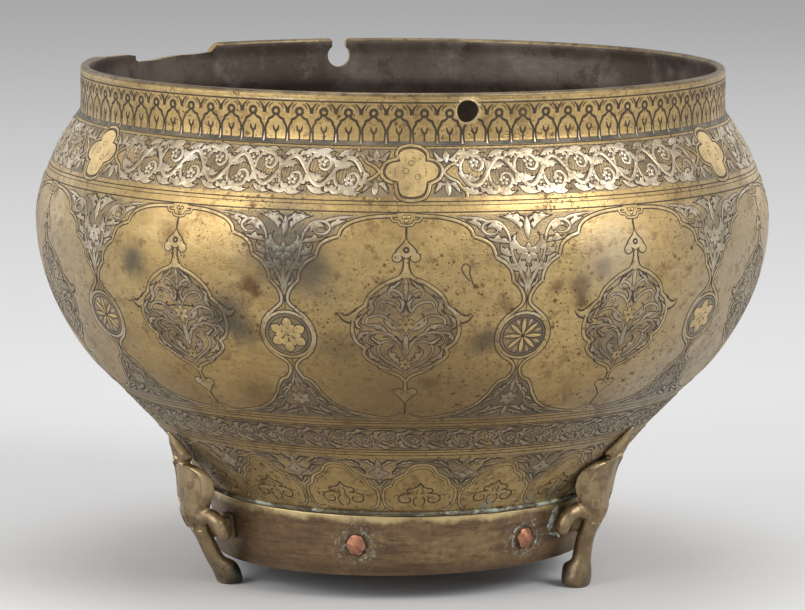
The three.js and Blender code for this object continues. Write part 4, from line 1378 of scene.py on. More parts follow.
LOWER_LEAVES = (
    ([(2.7, 70.6), (3.5, 70.4), (4.2, 69.2), (4.6, 67.6)], 1.6, 3, -1),
    ([(1.3, 74.8), (2.1, 74.8), (2.8, 73.4), (3.2, 71.8)], 1.3, 2, -1),
    ([(0.5, 76.4), (1.1, 75.6), (1.6, 73.6), (1.0, 72.4)], 1.5, 2, 1),
    ([(4.2, 66.0), (5.2, 66.2), (6.2, 65.0), (6.8, 63.8)], 1.5, 3, -1),
    ([(3.4, 67.0), (3.4, 65.0), (4.4, 63.4), (6.0, 62.4)], 1.9, 3, -1),
    ([(0.6, 66.2), (1.8, 65.6), (2.8, 64.2), (3.6, 62.2)], 1.9, 4, -1),
    ([(0.4, 64.0), (1.6, 63.2), (3.0, 62.0), (4.8, 60.6)], 1.7, 4, -1),
    ([(5.8, 63.6), (6.8, 62.2), (8.2, 61.2), (9.6, 60.4)], 1.5, 3, -1),
    ([(7.6, 62.8), (8.6, 63.0), (9.6, 62.2), (10.4, 61.3)], 1.1, 2, -1),
    ([(9.8, 61.3), (11.0, 60.6), (12.4, 60.1), (13.6, 59.8)], 1.0, 3, -1),
)


def upper_spandrel(band):
    """Drawn from the middle between two cartouches."""
    half = [[(18 - a, s) for a, s in piece] for piece in CARTOUCHE_TOP[:3]]
    half += [[(2.2, 116.0), (1.2, 113.8), (0.5, 110.8)]]
    edge = half + [[(0.5, 110.8), (-0.5, 110.8)]] + turned_back(mirrored(half))
    top = [(0, 138.5), (4.0, 138.5), (10.0, 138.4), (16.7, 138.2)]
    edge += [[*reversed(flipped(top[1:], -1)), *top]]
    band.ground.shape(turned_back(edge))
    foliage(band, UPPER_LEAVES, UPPER_STEMS, 1.05, 1.22)
    band.flower((0, 125.2), 6, 3.4, 2.1)
    band.leaf([(0, 129.6), (0, 132.0), (0, 134.8), (0, 137.6)], 2.2)
    band.leaf([(0, 113.0), (0, 115.4), (0, 118.2), (0, 121.0)], 1.5)


def lower_spandrel(band):
    """Drawn from the middle between two cartouches."""
    half = [[(1.0, 82.0), (1.4, 79.2)]]
    half += [[(18 - a, s) for a, s in piece] for piece in CARTOUCHE_FOOT[1:]]
    low = 59.0
    edge = half + [[(15.4, 59.6), (8.0, low), (0, low), (-8.0, low), (-15.4, 59.6)]]
    edge += turned_back(mirrored(half)) + [[(-1.0, 82.0), (1.0, 82.0)]]
    band.ground.shape(turned_back(edge))
    foliage(band, LOWER_LEAVES, LOWER_STEMS, 0.85)
    band.flower((0, 69.8), 6, 3.2, 2.0, first=30)
    band.leaf([(0, 73.4), (0, 75.2), (0, 77.2), (0, 79.2)], 1.2)
    band.leaf([(0, 66.0), (0, 64.2), (0, 62.2), (0, 60.3)], 1.6)


def waist_stems(band):
    for low, high in ((105.6, 111.2), (81.8, 87.4)):
        band.line.stroke([(0, low), (0, high)], 0.3)


ROUNDEL = (0, 96.4)
ROUNDEL_RADIUS = 8.5


def roundel_frame(band):
    reach = ROUNDEL_RADIUS
    disc = [(reach * math.cos(turn), ROUNDEL[1] + reach * math.sin(turn)) for turn in turns(40)]
    band.ground.field([Vector(p) for p in disc])
    band.line.ring(ROUNDEL, reach, 1.7)
    band.border.ring(ROUNDEL, reach, 0.9, 0.12)
    band.line.ring(ROUNDEL, reach - 1.7, 0.3)


def rosette_roundel(band):
    roundel_frame(band)
    band.line.petals(ROUNDEL, 8, 0.2, 6.9, 2.1, 0.0, 0.0)
    band.gilt.petals(ROUNDEL, 8, 0.6, 6.6, 1.35, 0.0, 0.3)
    band.vein.petals(ROUNDEL, 8, 1.2, 5.2, 0.3, 0.0, 0.0)
    band.border.petals(ROUNDEL, 8, 4.0, 6.7, 1.0, 22.5, 0.2)
    band.vein.disc(ROUNDEL, 0.8, 8)


def flower_roundel(band):
    roundel_frame(band)
    rows = ((6, 2.6, 6.4, 3.4, 90), (6, 1.2, 4.4, 2.4, 60), (5, 0.2, 2.4, 1.4, 90))
    for count, inner, outer, width, first in rows:
        band.line.petals(ROUNDEL, count, inner - 0.3, outer + 0.3, width + 0.8, first, 0.0)
        band.gilt.petals(ROUNDEL, count, inner, outer, width, first, 0.25)
        for i in range(count):
            turn = math.radians(first + 360 / count * i)
            ends = [band.vein.off(ROUNDEL, lerp(inner, outer, share), turn) for share in (0.2, 0.8)]
            band.vein.stroke(ends, (0.5, 0.15), straight=True)
    band.vein.ring(ROUNDEL, 2.9, 0.25, sides=20)
    band.vein.disc(ROUNDEL, 0.5, 8)


def belly_lines(band):
    for along, width in ((142.9, 0.4), (141.6, 0.25), (139.2, 0.45), (57.9, 0.35), (56.3, 0.3), (54.4, 0.35)):
        band.line.line_round(along, width, 6)


def frieze(band):
    """A running scroll, two turns to a pitch."""
    pitch = 10.0
    band.ground.strip_round(41.4, 53.4, pitch)
    for along, width in ((53.5, 0.4), (41.2, 0.4), (39.9, 0.3), (38.2, 0.3)):
        band.line.line_round(along, width, pitch)
    mid = 47.4
    for side, at in ((1, -2.5), (-1, 2.5)):
        wave = [
            (at - 2.7, mid - 2.4 * side), (at - 1.5, mid + 2.0 * side), (at + 0.4, mid + 3.6 * side),
            (at + 1.9, mid + 1.4 * side), (at + 1.1, mid - 1.4 * side), (at - 0.4, mid - 0.6 * side),
        ]
        band.tendril(wave, 0.8)
        for path, width, lobes, hand in (
            ([(-2.2, -0.2), (-2.3, 2.2), (-1.5, 4.2), (-0.2, 5.1)], 2.0, 3, 1),
            ([(1.4, 1.6), (2.3, 2.8), (2.9, 4.6)], 1.9, 3, 1),
            ([(-2.4, -2.0), (-1.2, -3.6), (0.2, -4.6), (1.6, -4.6)], 2.0, 3, -1),
            ([(1.2, -1.0), (2.1, -1.8), (2.4, -3.6)], 1.7, 2, -1),
            ([(-0.6, 3.0), (0.4, 3.9), (1.6, 4.8)], 1.5, 2, 1),
            ([(-1.4, -0.8), (-0.6, -1.9), (0.6, -2.4)], 1.6, 2, -1),
        ):
            band.palmette([(at + a, mid + s * side) for a, s in path], width, lobes, hand * side)
        band.flower((at + 0.3, mid + 0.9 * side), 5, 1.6, 1.1)


# Right half of a scallop, from its top down to its foot.
SCALLOP = [
    [(0, 33.4), (1.5, 33.0), (2.7, 31.6), (3.4, 29.6), (3.9, 28.2)],
    [(3.9, 28.2), (5.2, 27.0), (6.5, 25.4), (7.1, 23.2), (7.4, 22.0)],
    [(7.4, 22.0), (8.4, 21.0), (9.1, 19.6), (9.4, 17.0), (9.3, 13.6), (8.6, 11.2), (7.4, 9.8)],
]
# Right half of the engraved trefoil in a scallop: lines and their widths.
TREFOIL = (
    ([(0, 23.6), (0.6, 21.8), (1.5, 20.9), (2.6, 20.6), (3.3, 19.6), (2.9, 18.5), (1.9, 18.2)], 0.52),
    ([(1.9, 18.2), (3.4, 18.0), (4.9, 17.2), (5.5, 15.4), (4.8, 13.6), (3.3, 13.2), (2.3, 14.3), (2.7, 15.8),
      (3.8, 15.8)], 0.52),
    ([(0.3, 20.4), (0.8, 19.2), (0.7, 17.6)], 0.32),
    ([(0.7, 16.4), (1.5, 15.0), (1.3, 12.6), (0.5, 11.4)], 0.42),
    ([(5.3, 17.2), (6.3, 17.2), (6.7, 16.2)], 0.3),
)


def scallop(band):
    for pieces in (SCALLOP, mirrored(SCALLOP)):
        band.edged(pieces, 0.8, 0.3)
        for piece in inside_of(pieces[:2], (0, 20.0), 0.82):
            band.line.stroke(piece, 0.22)
    for line, width in TREFOIL:
        band.pair(line, width)
    for side in (1, -1):
        band.border.ring((3.6 * side, 15.2), 0.9, 0.3, sides=12)
    band.border.leaf([(0, 12.6), (0, 14.6), (0, 16.8), (0, 18.6)], 1.3)
    band.line.stroke([(0, 12.8), (0, 15.0), (0, 17.0)], 0.2)


def scallop_ground(band):
    """Drawn from the middle between two scallops."""
    half = [[(10 - a, s) for a, s in piece] for piece in SCALLOP[:2]]
    half += [[(2.6, 22.0), (1.6, 21.0), (0.8, 19.6)]]
    edge = half + [[(0.8, 19.6), (-0.8, 19.6)]] + turned_back(mirrored(half))
    edge += [[(-10, 33.4), (-10, 36.8)], [(-10, 36.8), (-4, 36.8), (4, 36.8), (10, 36.8)]]
    edge += [[(10, 36.8), (10, 33.4)]]
    band.ground.shape(turned_back(edge), 1.6)
    foliage(band, (
        ([(0.4, 22.0), (1.2, 23.4), (2.0, 25.0), (3.2, 25.8)], 1.5, 3, 1),
        ([(3.4, 28.0), (4.2, 29.8), (5.2, 31.0), (6.6, 32.0)], 1.4, 3, 1),
        ([(4.2, 32.4), (5.6, 33.8), (7.4, 34.6), (9.2, 35.0)], 1.6, 4, 1),
        ([(1.0, 32.2), (1.8, 33.6), (3.0, 34.8), (4.6, 35.8)], 1.7, 3, 1),
    ))
    band.pair([(0.5, 19.0), (0.55, 16.4), (0.6, 14.0), (1.3, 11.8), (2.4, 10.2)], 0.45)
    for side in (1, -1):
        band.leaf(flipped([(0.9, 11.8), (1.5, 10.9), (2.2, 10.4), (3.2, 10.4)], side), 0.9)
    band.flower((0, 28.6), 4, 3.4, 2.3, first=0)
    band.flower((0, 28.6), 4, 2.3, 1.2, first=45)
    band.leaf([(0, 33.0), (0, 34.0), (0, 35.2), (0, 36.3)], 1.3)


def stray_marks(band):
    """Marks that stand once only: an engraved drop and an old crack."""
    drop = [(9.9, 116.4), (9.0, 118.6), (8.6, 120.8), (9.1, 122.2), (9.8, 121.4), (9.8, 119.0), (10.4, 115.0)]
    band.line.stroke(drop, 0.42)
    crack = [(-46.4, 103.6), (-43.0, 104.4), (-38.6, 103.8), (-34.6, 104.6), (-31.0, 103.9)]
    band.line.stroke(crack, (0.3, 0.6, 0.5, 0.6, 0.2))


def dress_body(bright, dull, rubbed, crust):
    """Wraps every band of ornament, the upper ones in brighter finishes than the lower ones."""
    tree = wrapping_tree()
    profile = profile_line()
    bands = (
        ("neck_arcade", RIM_RADIUS, (neck_arcade,), 86, -0.6, bright),
        ("neck_foot", RIM_RADIUS, (neck_foot,), 90, 0.0, dull | {"ground": crust}),
        ("quatrefoil", 122.0, (quatrefoil, cartouche_ends), 6, 1.4, bright),
        ("long_cartouche", 122.0, (long_cartouche,), 6, 31.4, bright | {"ground": rubbed}),
        ("big_cartouche", 128.0, (big_cartouche,), 10, 0.6, bright),
        ("medallion", 128.0, (medallion, upper_pendant, lower_pendant), 10, 0.6, dull | {"ground": rubbed}),
        ("spandrel", 127.0, (upper_spandrel, waist_stems), 10, 18.6, bright | {"ground": rubbed}),
        ("lower_spandrel", 108.0, (lower_spandrel,), 10, 18.6, dull),
        ("rosette", 124.0, (rosette_roundel,), 5, 18.6, bright),
        ("flower", 124.0, (flower_roundel,), 5, -17.4, bright),
        ("belly_lines", 120.0, (belly_lines,), 60, 0.0, bright),
        ("frieze", 94.0, (frieze,), 36, 0.0, dull | {"ground": rubbed}),
        ("scallop", 79.0, (scallop,), 18, 4.8, dull),
        ("scallop_ground", 82.0, (scallop_ground,), 18, -5.2, dull | {"ground": rubbed}),
        ("stray_marks", 128.0, (stray_marks,), 1, 0.0, bright),
    )
    for name, radius, parts, repeats, centre, finishes in bands:
        band = Band(radius)
        for part in parts:
            part(band)
        band.wrap(name, repeats, centre, finishes, tree, profile)
    bpy.data.objects.remove(profile)


# Foot band, seam and rivets


def foot_band(brass):
    """The band, a little uneven, with its lower edge cut on a slant."""
    rows = 14
    points = []
    for turn in turns(BAND_SIDES):
        slant = math.cos(turn - math.radians(BAND_RISES_TOWARDS))
        lower = BAND_BOTTOM + math.tan(math.radians(BAND_SLANT)) * band_radius(BAND_BOTTOM) * slant
        ring = []
        for i in range(rows + 1):
            z = lerp(lower, BAND_TOP - BAND_ROUNDING, i / rows)
            ring.append((band_radius(z), z))
        for i in range(1, 4):
            ease = math.pi / 2 * i / 3
            round_in, round_up = (BAND_ROUNDING * (1 - part) for part in (math.cos(ease), math.sin(ease)))
            ring.append((BAND_TOP_RADIUS - round_in, BAND_TOP - round_up))
        ring.append((BAND_TOP_RADIUS - BAND_THICKNESS, BAND_TOP))
        for i in range(rows + 1):
            z = lerp(BAND_TOP, lower, (i + 0.5) / (rows + 0.5))
            ring.append((band_radius(z) - BAND_THICKNESS, z))
        for r, z in ring:
            r += BAND_UNEVENNESS * noise.noise((math.cos(turn) * 5, math.sin(turn) * 5, z * 0.12))
            points.append(polar(r, turn, z))
    faces = skin(BAND_SIDES, len(ring), closed_rows=True, closed=True)
    band = made("riveted_band", points, faces, brass, crease=45)
    return placed(band, "band_brass", "foot_band")


# Points round the bead of solder: radius, height and how far each may swell.
SEAM_SECTION = (
    (68.2, 31.05, 0.0), (69.3, 31.1, 0.1), (70.2, 31.4, 0.3), (70.9, 31.9, 0.55), (71.4, 32.4, 0.5),
    (70.9, 32.9, 0.15), (70.0, 32.5, 0.0),
)


def crusted_seam(crust):
    """A thin uneven bead of solder and verdigris in the joint of the band and the body."""
    points = []
    for turn in turns(SEAM_SIDES):
        wide = noise.noise((math.cos(turn) * 14, math.sin(turn) * 14, 0.0))
        fine = noise.noise((math.cos(turn) * 55, math.sin(turn) * 55, 3.0))
        thick = max(0.0, 0.45 + 0.9 * wide + 0.5 * fine)
        for r, z, out in SEAM_SECTION:
            r += out * thick
            points.append(polar(r, turn, z - 0.25 * out * thick))
    faces = skin(SEAM_SIDES, len(SEAM_SECTION), closed_rows=True, closed=True)
    seam = made("crusted_seam", points, faces, crust)
    return placed(seam, "solder", "band_solder_seam")


def rivets(metal, bloom, dark_ring):
    for number, angle in enumerate(RIVET_ANGLES, 1):
        hammered_rivet(number, angle, metal)
        # A dark ring round the foot of each rivet's head, where it meets the band.
        rivet_halo(number, angle, dark_ring, "rivet_dirt", 3.3, 4.4, 0.12, 0.3)
        rivet_halo(number, angle, bloom, "rivet_crust", 4.5, 6.4, 0.35, 1.2)


def beaten_flats(number, shake):
    """The flats that a hammer left on a rivet's head: their direction and their distance."""
    flats = []
    for i in range(7):
        spin = 2 * math.pi * (i + shake.uniform(-0.25, 0.25)) / 7 + number
        tilt = shake.uniform(0.9, 1.5)
        flats.append((Vector(polar(1.0, spin, tilt)).normalized(), shake.uniform(0.7, 0.8)))
    top = Vector((shake.uniform(-0.2, 0.2), shake.uniform(-0.2, 0.2), 1.0)).normalized()
    return [*flats, (top, 0.78)]


def beaten_head(number, share, spin, flats, corners):
    """A point of the head, a share of the way from its top to its edge, for a radius and a rise of one."""
    blunt = (spin - number - 2 * math.pi * (k + 0.3 * corner) / 6 for k, corner in enumerate(corners))
    near = min(abs(math.remainder(angle, 2 * math.pi)) for angle in blunt)
    wide = math.sin(math.pi / 2 * share) * (1.03 - 0.17 * min(near * 1.9, 1.0) * share)
    p = Vector(polar(wide, spin, math.cos(math.pi / 2 * share) ** 0.7))
    for direction, limit in flats:
        over = p.dot(direction) - limit
        if over > 0:
            p -= direction * over * 0.95
    return p


def hammered_rivet(number, angle, metal):
    """A head beaten to flat sides by hand, with its tail inside the foot."""
    shake = random.Random(number * 7)
    flats = beaten_flats(number, shake)
    corners = [shake.uniform(-0.4, 0.4) for _ in range(6)]
    turn = math.radians(angle)
    out = Vector(polar(1.0, turn, 0.0))
    side = Vector(polar(1.0, turn + math.pi / 2, 0.0))
    base = band_radius(RIVET_HEIGHT) + 0.15
    half_width = RIVET_RADIUS * RIVET_NARROWING

    def at(across, up, depth):
        return out * (base + depth) + side * across + Vector((0.0, 0.0, RIVET_HEIGHT + up))

    spins = turns(48)
    rings = []
    for i in range(13):
        head = [beaten_head(number, i / 12, spin, flats, corners) for spin in spins]
        rings.append([at(p.x * half_width, p.y * RIVET_RADIUS, p.z * RIVET_RISE) for p in head])
    tail = ((RIVET_RADIUS * 0.8, -0.3), (1.7, -0.3), (1.7, -9.6), (2.9, -9.6), (2.6, -10.5), (1.4, -10.9))
    for radius, depth in tail:
        rings.append([at(radius * math.cos(spin), radius * math.sin(spin), depth) for spin in spins])
    rivet = made(f"hammered_rivet_{number}", *loft(rings), metal, crease=28)
    reworked(rivet, weld, face_outwards)
    store_relief(rivet.data)
    return placed(rivet, "copper", f"band_rivet_{number}")


def rivet_halo(number, angle, finish, name, inner, outer, thick, gaps):
    """A ragged ring on the band round a rivet, broken where the gaps are."""
    turn = math.radians(angle)
    sides = 90
    points = []
    shares = (0.0, 0.2, 0.45, 0.7, 0.9, 1.0)
    for spin in turns(sides):
        rag = noise.noise((math.cos(spin) * 2.6 + number * 5, math.sin(spin) * 2.6, inner))
        fine = noise.noise((math.cos(spin) * 9 + number * 5, math.sin(spin) * 9, inner))
        middle = lerp(inner, outer, 0.5) * (1 + 0.07 * rag)
        half = (outer - inner) / 2 * max(0.04, 1 + 1.3 * rag + 0.8 * fine - gaps)
        for share in shares:
            r = middle + half * (2 * share - 1)
            x, z = r * math.cos(spin), RIVET_HEIGHT + r * math.sin(spin)
            lump = 0.5 + 0.9 * abs(noise.noise((x * 1.1, z * 1.1, number)))
            swell = thick * lump * math.sin(math.pi * share) - 0.12 * (2 * share - 1) ** 2
            radius = band_radius(z) + BAND_UNEVENNESS + swell
            points.append(polar(radius, turn + x / radius, z))
    faces = skin(sides, len(shares), closed_rows=True, over=True)
    return placed(made(f"{name}_{number}", points, faces, finish), "solder")


def band_bloom(crust):
    """Pale streaks on the band beside the right foot, at so many mm to the left of its middle."""
    turn = math.radians(FEET[1][1])
    points = []
    faces = []
    for path, width in (
        (((-9.2, 30.2), (-10.3, 28.2), (-11.5, 26.0), (-12.5, 23.4), (-13.0, 21.2)), 2.1),
        (((-12.8, 20.6), (-10.6, 19.9), (-8.0, 19.6), (-6.2, 18.2)), 1.0),
    ):
        line = smoothed(path, 0.4)
        start = len(points)
        for i, (p, square) in enumerate(zip(line, squares(line))):
            ragged = 0.5 + 1.1 * abs(noise.noise((p.x * 0.9, p.y * 0.9, 2.0)))
            wide = width * ragged * math.sin(math.pi * (0.06 + 0.88 * i / (len(line) - 1))) ** 0.6
            for reach, rise in ((-wide, -0.05), (-0.4 * wide, 0.25), (0.3 * wide, 0.35), (wide, -0.05)):
                across, z = p + square * reach
                radius = band_radius(z) + 0.15 + rise
                points.append(polar(radius, turn + across / radius, z))
        faces += skin(len(line), 4, start, over=True)
    return placed(made("band_bloom", points, faces, crust), "solder")


# Feet

# Name, angle, how far the knee stands above the right foot's, and the front's radius and height.
FEET = (
    ("foot_left", -162.8, -2.8, (
        (72.4, 0), (74, 4), (77.2, 9), (80.6, 16), (85, 24),
        (87.4, 32), (88.4, 42), (89.3, 49), (92.6, 55.8),
    )),
    ("foot_right", -40.8, 0.0, (
        (75.6, 0), (76.4, 4), (76.6, 10), (77.9, 18), (81.2, 25),
        (83.4, 33), (85.8, 42), (88.2, 49), (93.4, 58.6),
    )),
    ("foot_back", 79.2, -1.4, (
        (74, 0), (75.2, 4), (77, 9.6), (79.2, 17), (83.2, 24.6),
        (85.4, 32.6), (87.2, 42), (88.8, 49), (93, 57.2),
    )),
)
# Height, half width, thickness and fold of the edges, from the hoof up to the leaf's tip.
FOOT_STATIONS = (
    (0.0, 4.0, 6.8, 0.0), (0.7, 5.2, 8.4, 0.0), (2.4, 5.7, 9.6, 0.0), (5.4, 5.2, 9.8, 0.0),
    (7.8, 4.4, 9.4, 0.0), (9.2, 3.8, 7.2, 0.0), (11.0, 3.5, 6.4, 0.0), (15.5, 3.5, 6.2, 0.0),
    (23.6, 4.6, 5.4, 0.6), (26.4, 6.6, 5.0, 1.8), (29.6, 8.9, 4.2, 3.2), (31.6, 9.6, 3.8, 3.8),
    (34.2, 11.3, 3.4, 4.8), (37.4, 12.7, 3.2, 5.8), (40.6, 12.9, 3.2, 6.0), (43.8, 12.0, 3.2, 5.2),
    (46.2, 8.8, 3.2, 3.0), (47.4, 4.0, 3.2, 1.2), (49.0, 5.3, 3.2, 1.6), (50.6, 5.3, 3.2, 1.4),
    (53.5, 3.5, 2.8, 0.6), (56.6, 1.9, 2.0, 0.2), (58.6, 0.6, 1.2, 0.0),
)
LEG_MIDDLE = 15.0
LUG_BOTTOM = 20.0
LUG_TOP = 26.4
LUG_WIDTH = 5.0
LUG_REACHES_IN = 64.0
# Size of the voxels in which a foot's parts are run together.
CASTING_VOXEL = 0.42
# Middle line of a curl: mm across, height, and how far it lies behind the foot's front.
CURL = ((4.2, 27.4, 4.4), (8.8, 29.0, 6.2), (12.2, 27.6, 7.2), (13.5, 24.2, 7.6), (12.6, 21.0, 7.6))


def front_radius(front, height):
    """Radius of a foot's front at a height, on a smooth line through its points."""
    line = smoothed([tuple(p) for p in front], 0.6)
    for low, high in zip(line, line[1:]):
        if low.y <= height <= high.y:
            return lerp(low.x, high.x, (height - low.y) / max(high.y - low.y, 1e-6))
    return line[0].x if height < line[0].y else line[-1].x


def squared(value, power=0.82):
    """The value with its curve flattened by a power under one, or sharpened by one over it."""
    return math.copysign(abs(value) ** power, value)


def foot_outline(front, raised):
    """Height, half width, thickness and fold at close steps up a foot."""
    tip = front[-1][1]
    stations = []
    for z, half, thick, fold in FOOT_STATIONS:
        z = z + raised if z > 20 else z
        stations.append((min(z, tip), half, thick, fold))
    outline = []
    last = -1.0
    for z, half, thick, fold in smoothed(stations, 0.8):
        last = max(z, last + 0.02)
        outline.append((last, half, thick, fold))
    return outline


def foot_solid(front, raised):
    """Leg and plate of a foot, standing along +X."""
    rings = []
    for z, half, thick, fold in foot_outline(front, raised):
        face = front_radius(front, z)
        ridge = max(0.0, 1 - abs(z - LEG_MIDDLE) / 8)
        ring = []
        for turn in turns(44):
            outward, side = squared(math.cos(turn), lerp(0.82, 1.1, ridge)), squared(math.sin(turn))
            ring.append((face + (outward - 1) * thick / 2 - fold * side * side, side * half, z))
        rings.append(ring)
    return loft(rings)


def curl_solid(front, raised, side):
    """One of the two curls that hang beside the leg."""
    points = [(front_radius(front, z) - behind, side * across, z + raised) for across, z, behind in CURL]
    path = smoothed(points, 0.8)
    rings = []
    for i, p in enumerate(path):
        ahead = (path[min(i + 1, len(path) - 1)] - path[max(i - 1, 0)]).normalized()
        first = ahead.cross(Vector((1.0, 0.0, 0.0))).normalized()
        second = ahead.cross(first)
        share = i / (len(path) - 1)
        radius = lerp(2.9, 2.4, share)
        radius *= min(1.0, 0.4 + (1 - share) * len(path) / 3)
        first, second = first * radius, second * radius
        rings.append([p + first * math.cos(turn) + second * math.sin(turn) for turn in turns(16)])
    return loft(rings)


def lug_solid(front, raised):
    """The lug behind the knee, by which the foot is soldered to the band."""
    inner, half = LUG_REACHES_IN, LUG_WIDTH / 2
    outer = front_radius(front, LUG_BOTTOM + raised) - 2
    corners = ((inner, -half), (outer, -half), (outer, half), (inner, half))
    return loft([[(x, y, z + raised) for x, y in corners] for z in (LUG_BOTTOM, LUG_TOP)])


def clearance_solid():
    """All that lies within a hair of the body and the band, for a foot to be cut back to."""
    outline = [(0.0, -5.0), (band_radius(-5.0) + GAP, -5.0), (BAND_TOP_RADIUS + GAP + 0.1, BAND_TOP)]
    outline += [(r, z) for r, z in offset(OUTSIDE, -GAP) if z < 110.0]
    outline.append((0.0, outline[-1][1]))
    return turned("clearance", outline, (), sides=180, crease=None)


def cast_foot(name, angle, raised, front, brass):
    """One foot, its parts run together as in the casting, turned to its place."""
    points, faces = [], []
    curls = [curl_solid(front, raised, side) for side in (1, -1)]
    for part_points, part_faces in (foot_solid(front, raised), *curls, lug_solid(front, raised)):
        start = len(points)
        points += part_points
        faces += [tuple(start + i for i in face) for face in part_faces]
    foot = made(f"cast_{name}", points, faces, brass)
    fuse = foot.modifiers.new("fuse", "REMESH")
    fuse.mode = "VOXEL"
    fuse.voxel_size = CASTING_VOXEL * MM
    fuse.use_smooth_shade = True
    soften = foot.modifiers.new("soften", "SMOOTH")
    soften.factor = 0.5
    soften.iterations = 4
    settled(foot)
    engrave_foot(foot.data, front, raised)
    foot.data.transform(Matrix.Rotation(math.radians(angle), 4, "Z"))
    cut_away(foot, clearance_solid())
    if not foot.data.materials:
        foot.data.materials.append(brass)
    foot.data.polygons.foreach_set("use_smooth", [True] * len(foot.data.polygons))
    foot.data.set_sharp_from_angle(angle=math.radians(50))
    store_relief(foot.data)
    return placed(foot, "cast_brass", name)


# Notches over the knee of a foot: across, lower and upper height, and width.
KNEE_NOTCHES = ((-4.0, 24.4, 28.0, 1.0), (0.6, 23.8, 27.4, 0.9), (4.0, 23.4, 27.4, 1.0))


def clamped(value):
    return min(1.0, max(0.0, value))


def engrave_foot(mesh, front, raised):
    """Raises the rim of a foot's plate over its hollow middle, and cuts the notches of the knee."""
    outline = foot_outline(front, raised)
    notches = []
    for across, low, high, width in KNEE_NOTCHES:
        path = [(across * 0.8, low), (across, (low + high) / 2), (across * 1.25, high)]
        notches.append((smoothed([(y, z + raised) for y, z in path], 0.4), width))
    for vertex in mesh.vertices:
        x, y, z = (c / MM for c in vertex.co)
        if vertex.normal.x < 0.2:
            continue
        half = next((wide for height, wide, *_ in outline if height >= z), 0.0)
        inside = half - abs(y)
        in_plate = clamped((z - raised - 29) / 4) * clamped((57 - z + raised) / 3)
        lift = in_plate * max(0.0, 1 - ((inside - 1.5) / 1.6) ** 2)
        lift -= 0.8 * in_plate * clamped((inside - 2.9) / 1.1)
        for line, width in notches:
            near = min((Vector((y, z)) - p).length for p in line)
            lift -= 0.9 * max(0.0, 1 - (near / width) ** 2)
        vertex.co.x += lift * MM


def store_relief(mesh):
    """Stores how far each point stands out from its surroundings, smoothed, in mm."""
    near = [[] for _ in mesh.vertices]
    for edge in mesh.edges:
        a, b = edge.vertices
        near[a].append(b)
        near[b].append(a)
    points = [v.co / MM for v in mesh.vertices]
    wear = []
    for vertex, others in zip(mesh.vertices, near):
        middle = sum((points[i] for i in others), Vector()) / max(len(others), 1)
        wear.append((points[vertex.index] - middle).dot(vertex.normal))
    for _ in range(5):
        wear = [(wear[i] + sum(wear[j] for j in others)) / (len(others) + 1) for i, others in enumerate(near)]
    mesh.attributes.new("wear", "FLOAT", "POINT").data.foreach_set("value", wear)


# Stage

FLOOR_RADIUS = 12000.0
# The photograph's camera: distance and height in metres, angles in degrees.
CAMERA_DISTANCE = 1.5
CAMERA_HEIGHT = 0.3104
CAMERA_ASIDE = 0.00021
CAMERA_DOWN = 8.197
CAMERA_ROLL = 0.278
CAMERA_LENS = 189.7


def pale_world():
    """A pale surrounding that the camera and the metal see, and a plainer one that lights the pail."""
    world = bpy.data.worlds.new("pale room")
    bpy.context.scene.world = world
    world.use_nodes = True
    tree = world.node_tree
    tree.nodes.clear()
    path = added(tree, "ShaderNodeLightPath")
    shows = path["Is Camera Ray"]
    for name in ("Is Glossy Ray", "Is Transmission Ray"):
        shows = added(tree, "ShaderNodeMath", {"operation": "MAXIMUM"}, shows, path[name])[0]
    lit = added(tree, "ShaderNodeBackground", Color=(0.5, 0.5, 0.51, 1.0))[0]
    seen = added(tree, "ShaderNodeBackground", Color=(0.62, 0.62, 0.63, 1.0))[0]
    mix = added(tree, "ShaderNodeMixShader", None, shows, lit, seen)[0]
    added(tree, "ShaderNodeOutputWorld", Surface=mix)


def floor():
    paint = Finish("pale floor")
    material = paint.set(Base_Color=(0.6, 0.6, 0.6, 1.0), Roughness=0.9)
    ring = [polar(FLOOR_RADIUS, turn, 0.0) for turn in turns(64)]
    ground = made("floor", ring, [tuple(range(64))], material, smooth=False)


LAMPS_AIM_AT = Vector((0.0, 0.0, 0.1))
# Lamps: name, place and size in metres, and power in watts.
LAMPS = (
    ("softbox_right", (1.1, -1.3, 1.3), (0.9, 0.9), 25),
    ("softbox_left", (-1.5, -1.1, 0.9), (0.8, 1.2), 15.5),
    ("side_left", (-1.9, -0.2, 0.8), (0.7, 1.5), 10.5),
    ("side_right", (1.7, -0.9, 0.7), (0.6, 1.4), 5),
    ("back_left", (-1.3, 1.7, 0.7), (1.0, 1.5), 5),
    ("back_right", (1.6, 1.4, 0.7), (1.0, 1.5), 4),
    ("overhead", (0.0, 0.2, 1.9), (1.2, 1.2), 13),
)


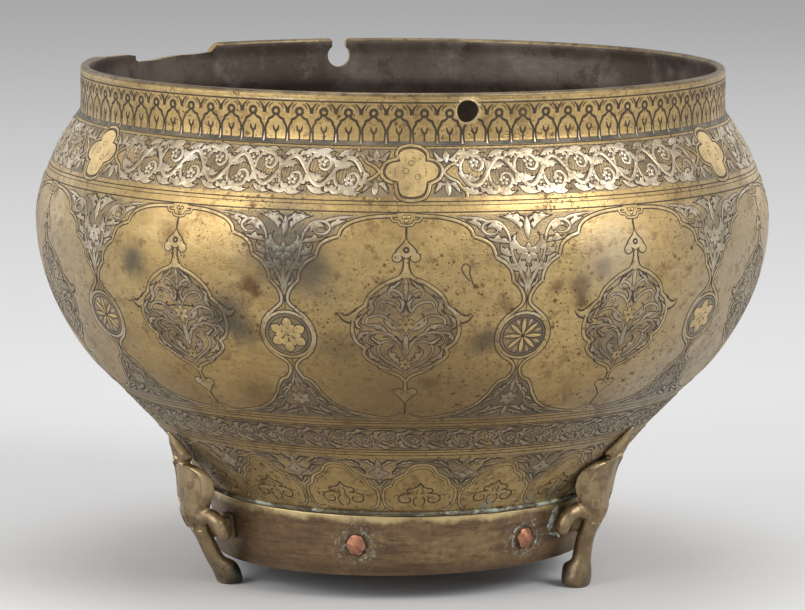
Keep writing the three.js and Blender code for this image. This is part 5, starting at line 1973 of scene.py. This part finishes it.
def lamp(name, place, size, power):
    light = bpy.data.lights.new(name, "AREA")
    light.shape = "RECTANGLE"
    light.size, light.size_y = size
    light.energy = power
    thing = linked(name, light)
    thing.location = place
    thing.rotation_euler = (LAMPS_AIM_AT - Vector(place)).to_track_quat("-Z", "Y").to_euler()


def camera():
    """The photograph's own view."""
    data = bpy.data.cameras.new("camera")
    data.lens = CAMERA_LENS
    data.sensor_width = 36.0
    data.clip_start = 0.05
    data.clip_end = 100.0
    thing = linked("camera", data)
    bpy.context.scene.camera = thing
    turn, pitch, roll = (math.radians(angle) for angle in (FRONT, CAMERA_DOWN, CAMERA_ROLL))
    ahead = -Vector(polar(math.cos(pitch), turn, math.sin(pitch)))
    right = ahead.cross(Vector((0, 0, 1))).normalized()
    up = right.cross(ahead)
    place = Vector(polar(CAMERA_DISTANCE, turn, CAMERA_HEIGHT)) + right * CAMERA_ASIDE
    tilted = right * math.cos(roll) + up * math.sin(roll)
    upright = up * math.cos(roll) - right * math.sin(roll)
    rows = Matrix((tilted, upright, -ahead)).transposed()
    thing.matrix_world = Matrix.Translation(place) @ rows.to_4x4()


def dress_solids(plate, solder):
    """Finishes for the solids whose own shape is shown."""
    pads = [(f"{name}_solder", solder) for name, *_ in FEET]
    for name, finish in (("base_plate", plate), *pads):
        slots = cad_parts[name].data.materials
        slots.clear()
        slots.append(finish)


def main():
    bpy.context.scene.view_settings.view_transform = "Standard"
    inside = tarnished_inside()
    body_shell(worn_brass(), rubbed_brass(), inside)
    line, border, gilt = engraved_line(), rubbed_border(), gilt_brass()
    bright = {"ground": matted_ground(), "line": line, "vein": line, "gilt": gilt, "border": border}
    bright["silver"] = silver_inlay()
    dull = bright | {"silver": dull_silver()}
    dress_body(bright, dull, rubbed_ground(), crusted_groove())
    foot_band(band_brass())
    crusted_seam(seam_crust_and_shade())
    rivets(copper(), rivet_bloom(), line)
    band_bloom(verdigris())
    castings = cast_brass()
    for name, angle, raised, front in FEET:
        cast_foot(name, angle, raised, front, castings)
    dress_solids(inside, dirty_solder())
    pale_world()
    floor()
    for row in LAMPS:
        lamp(*row)
    camera()


main()
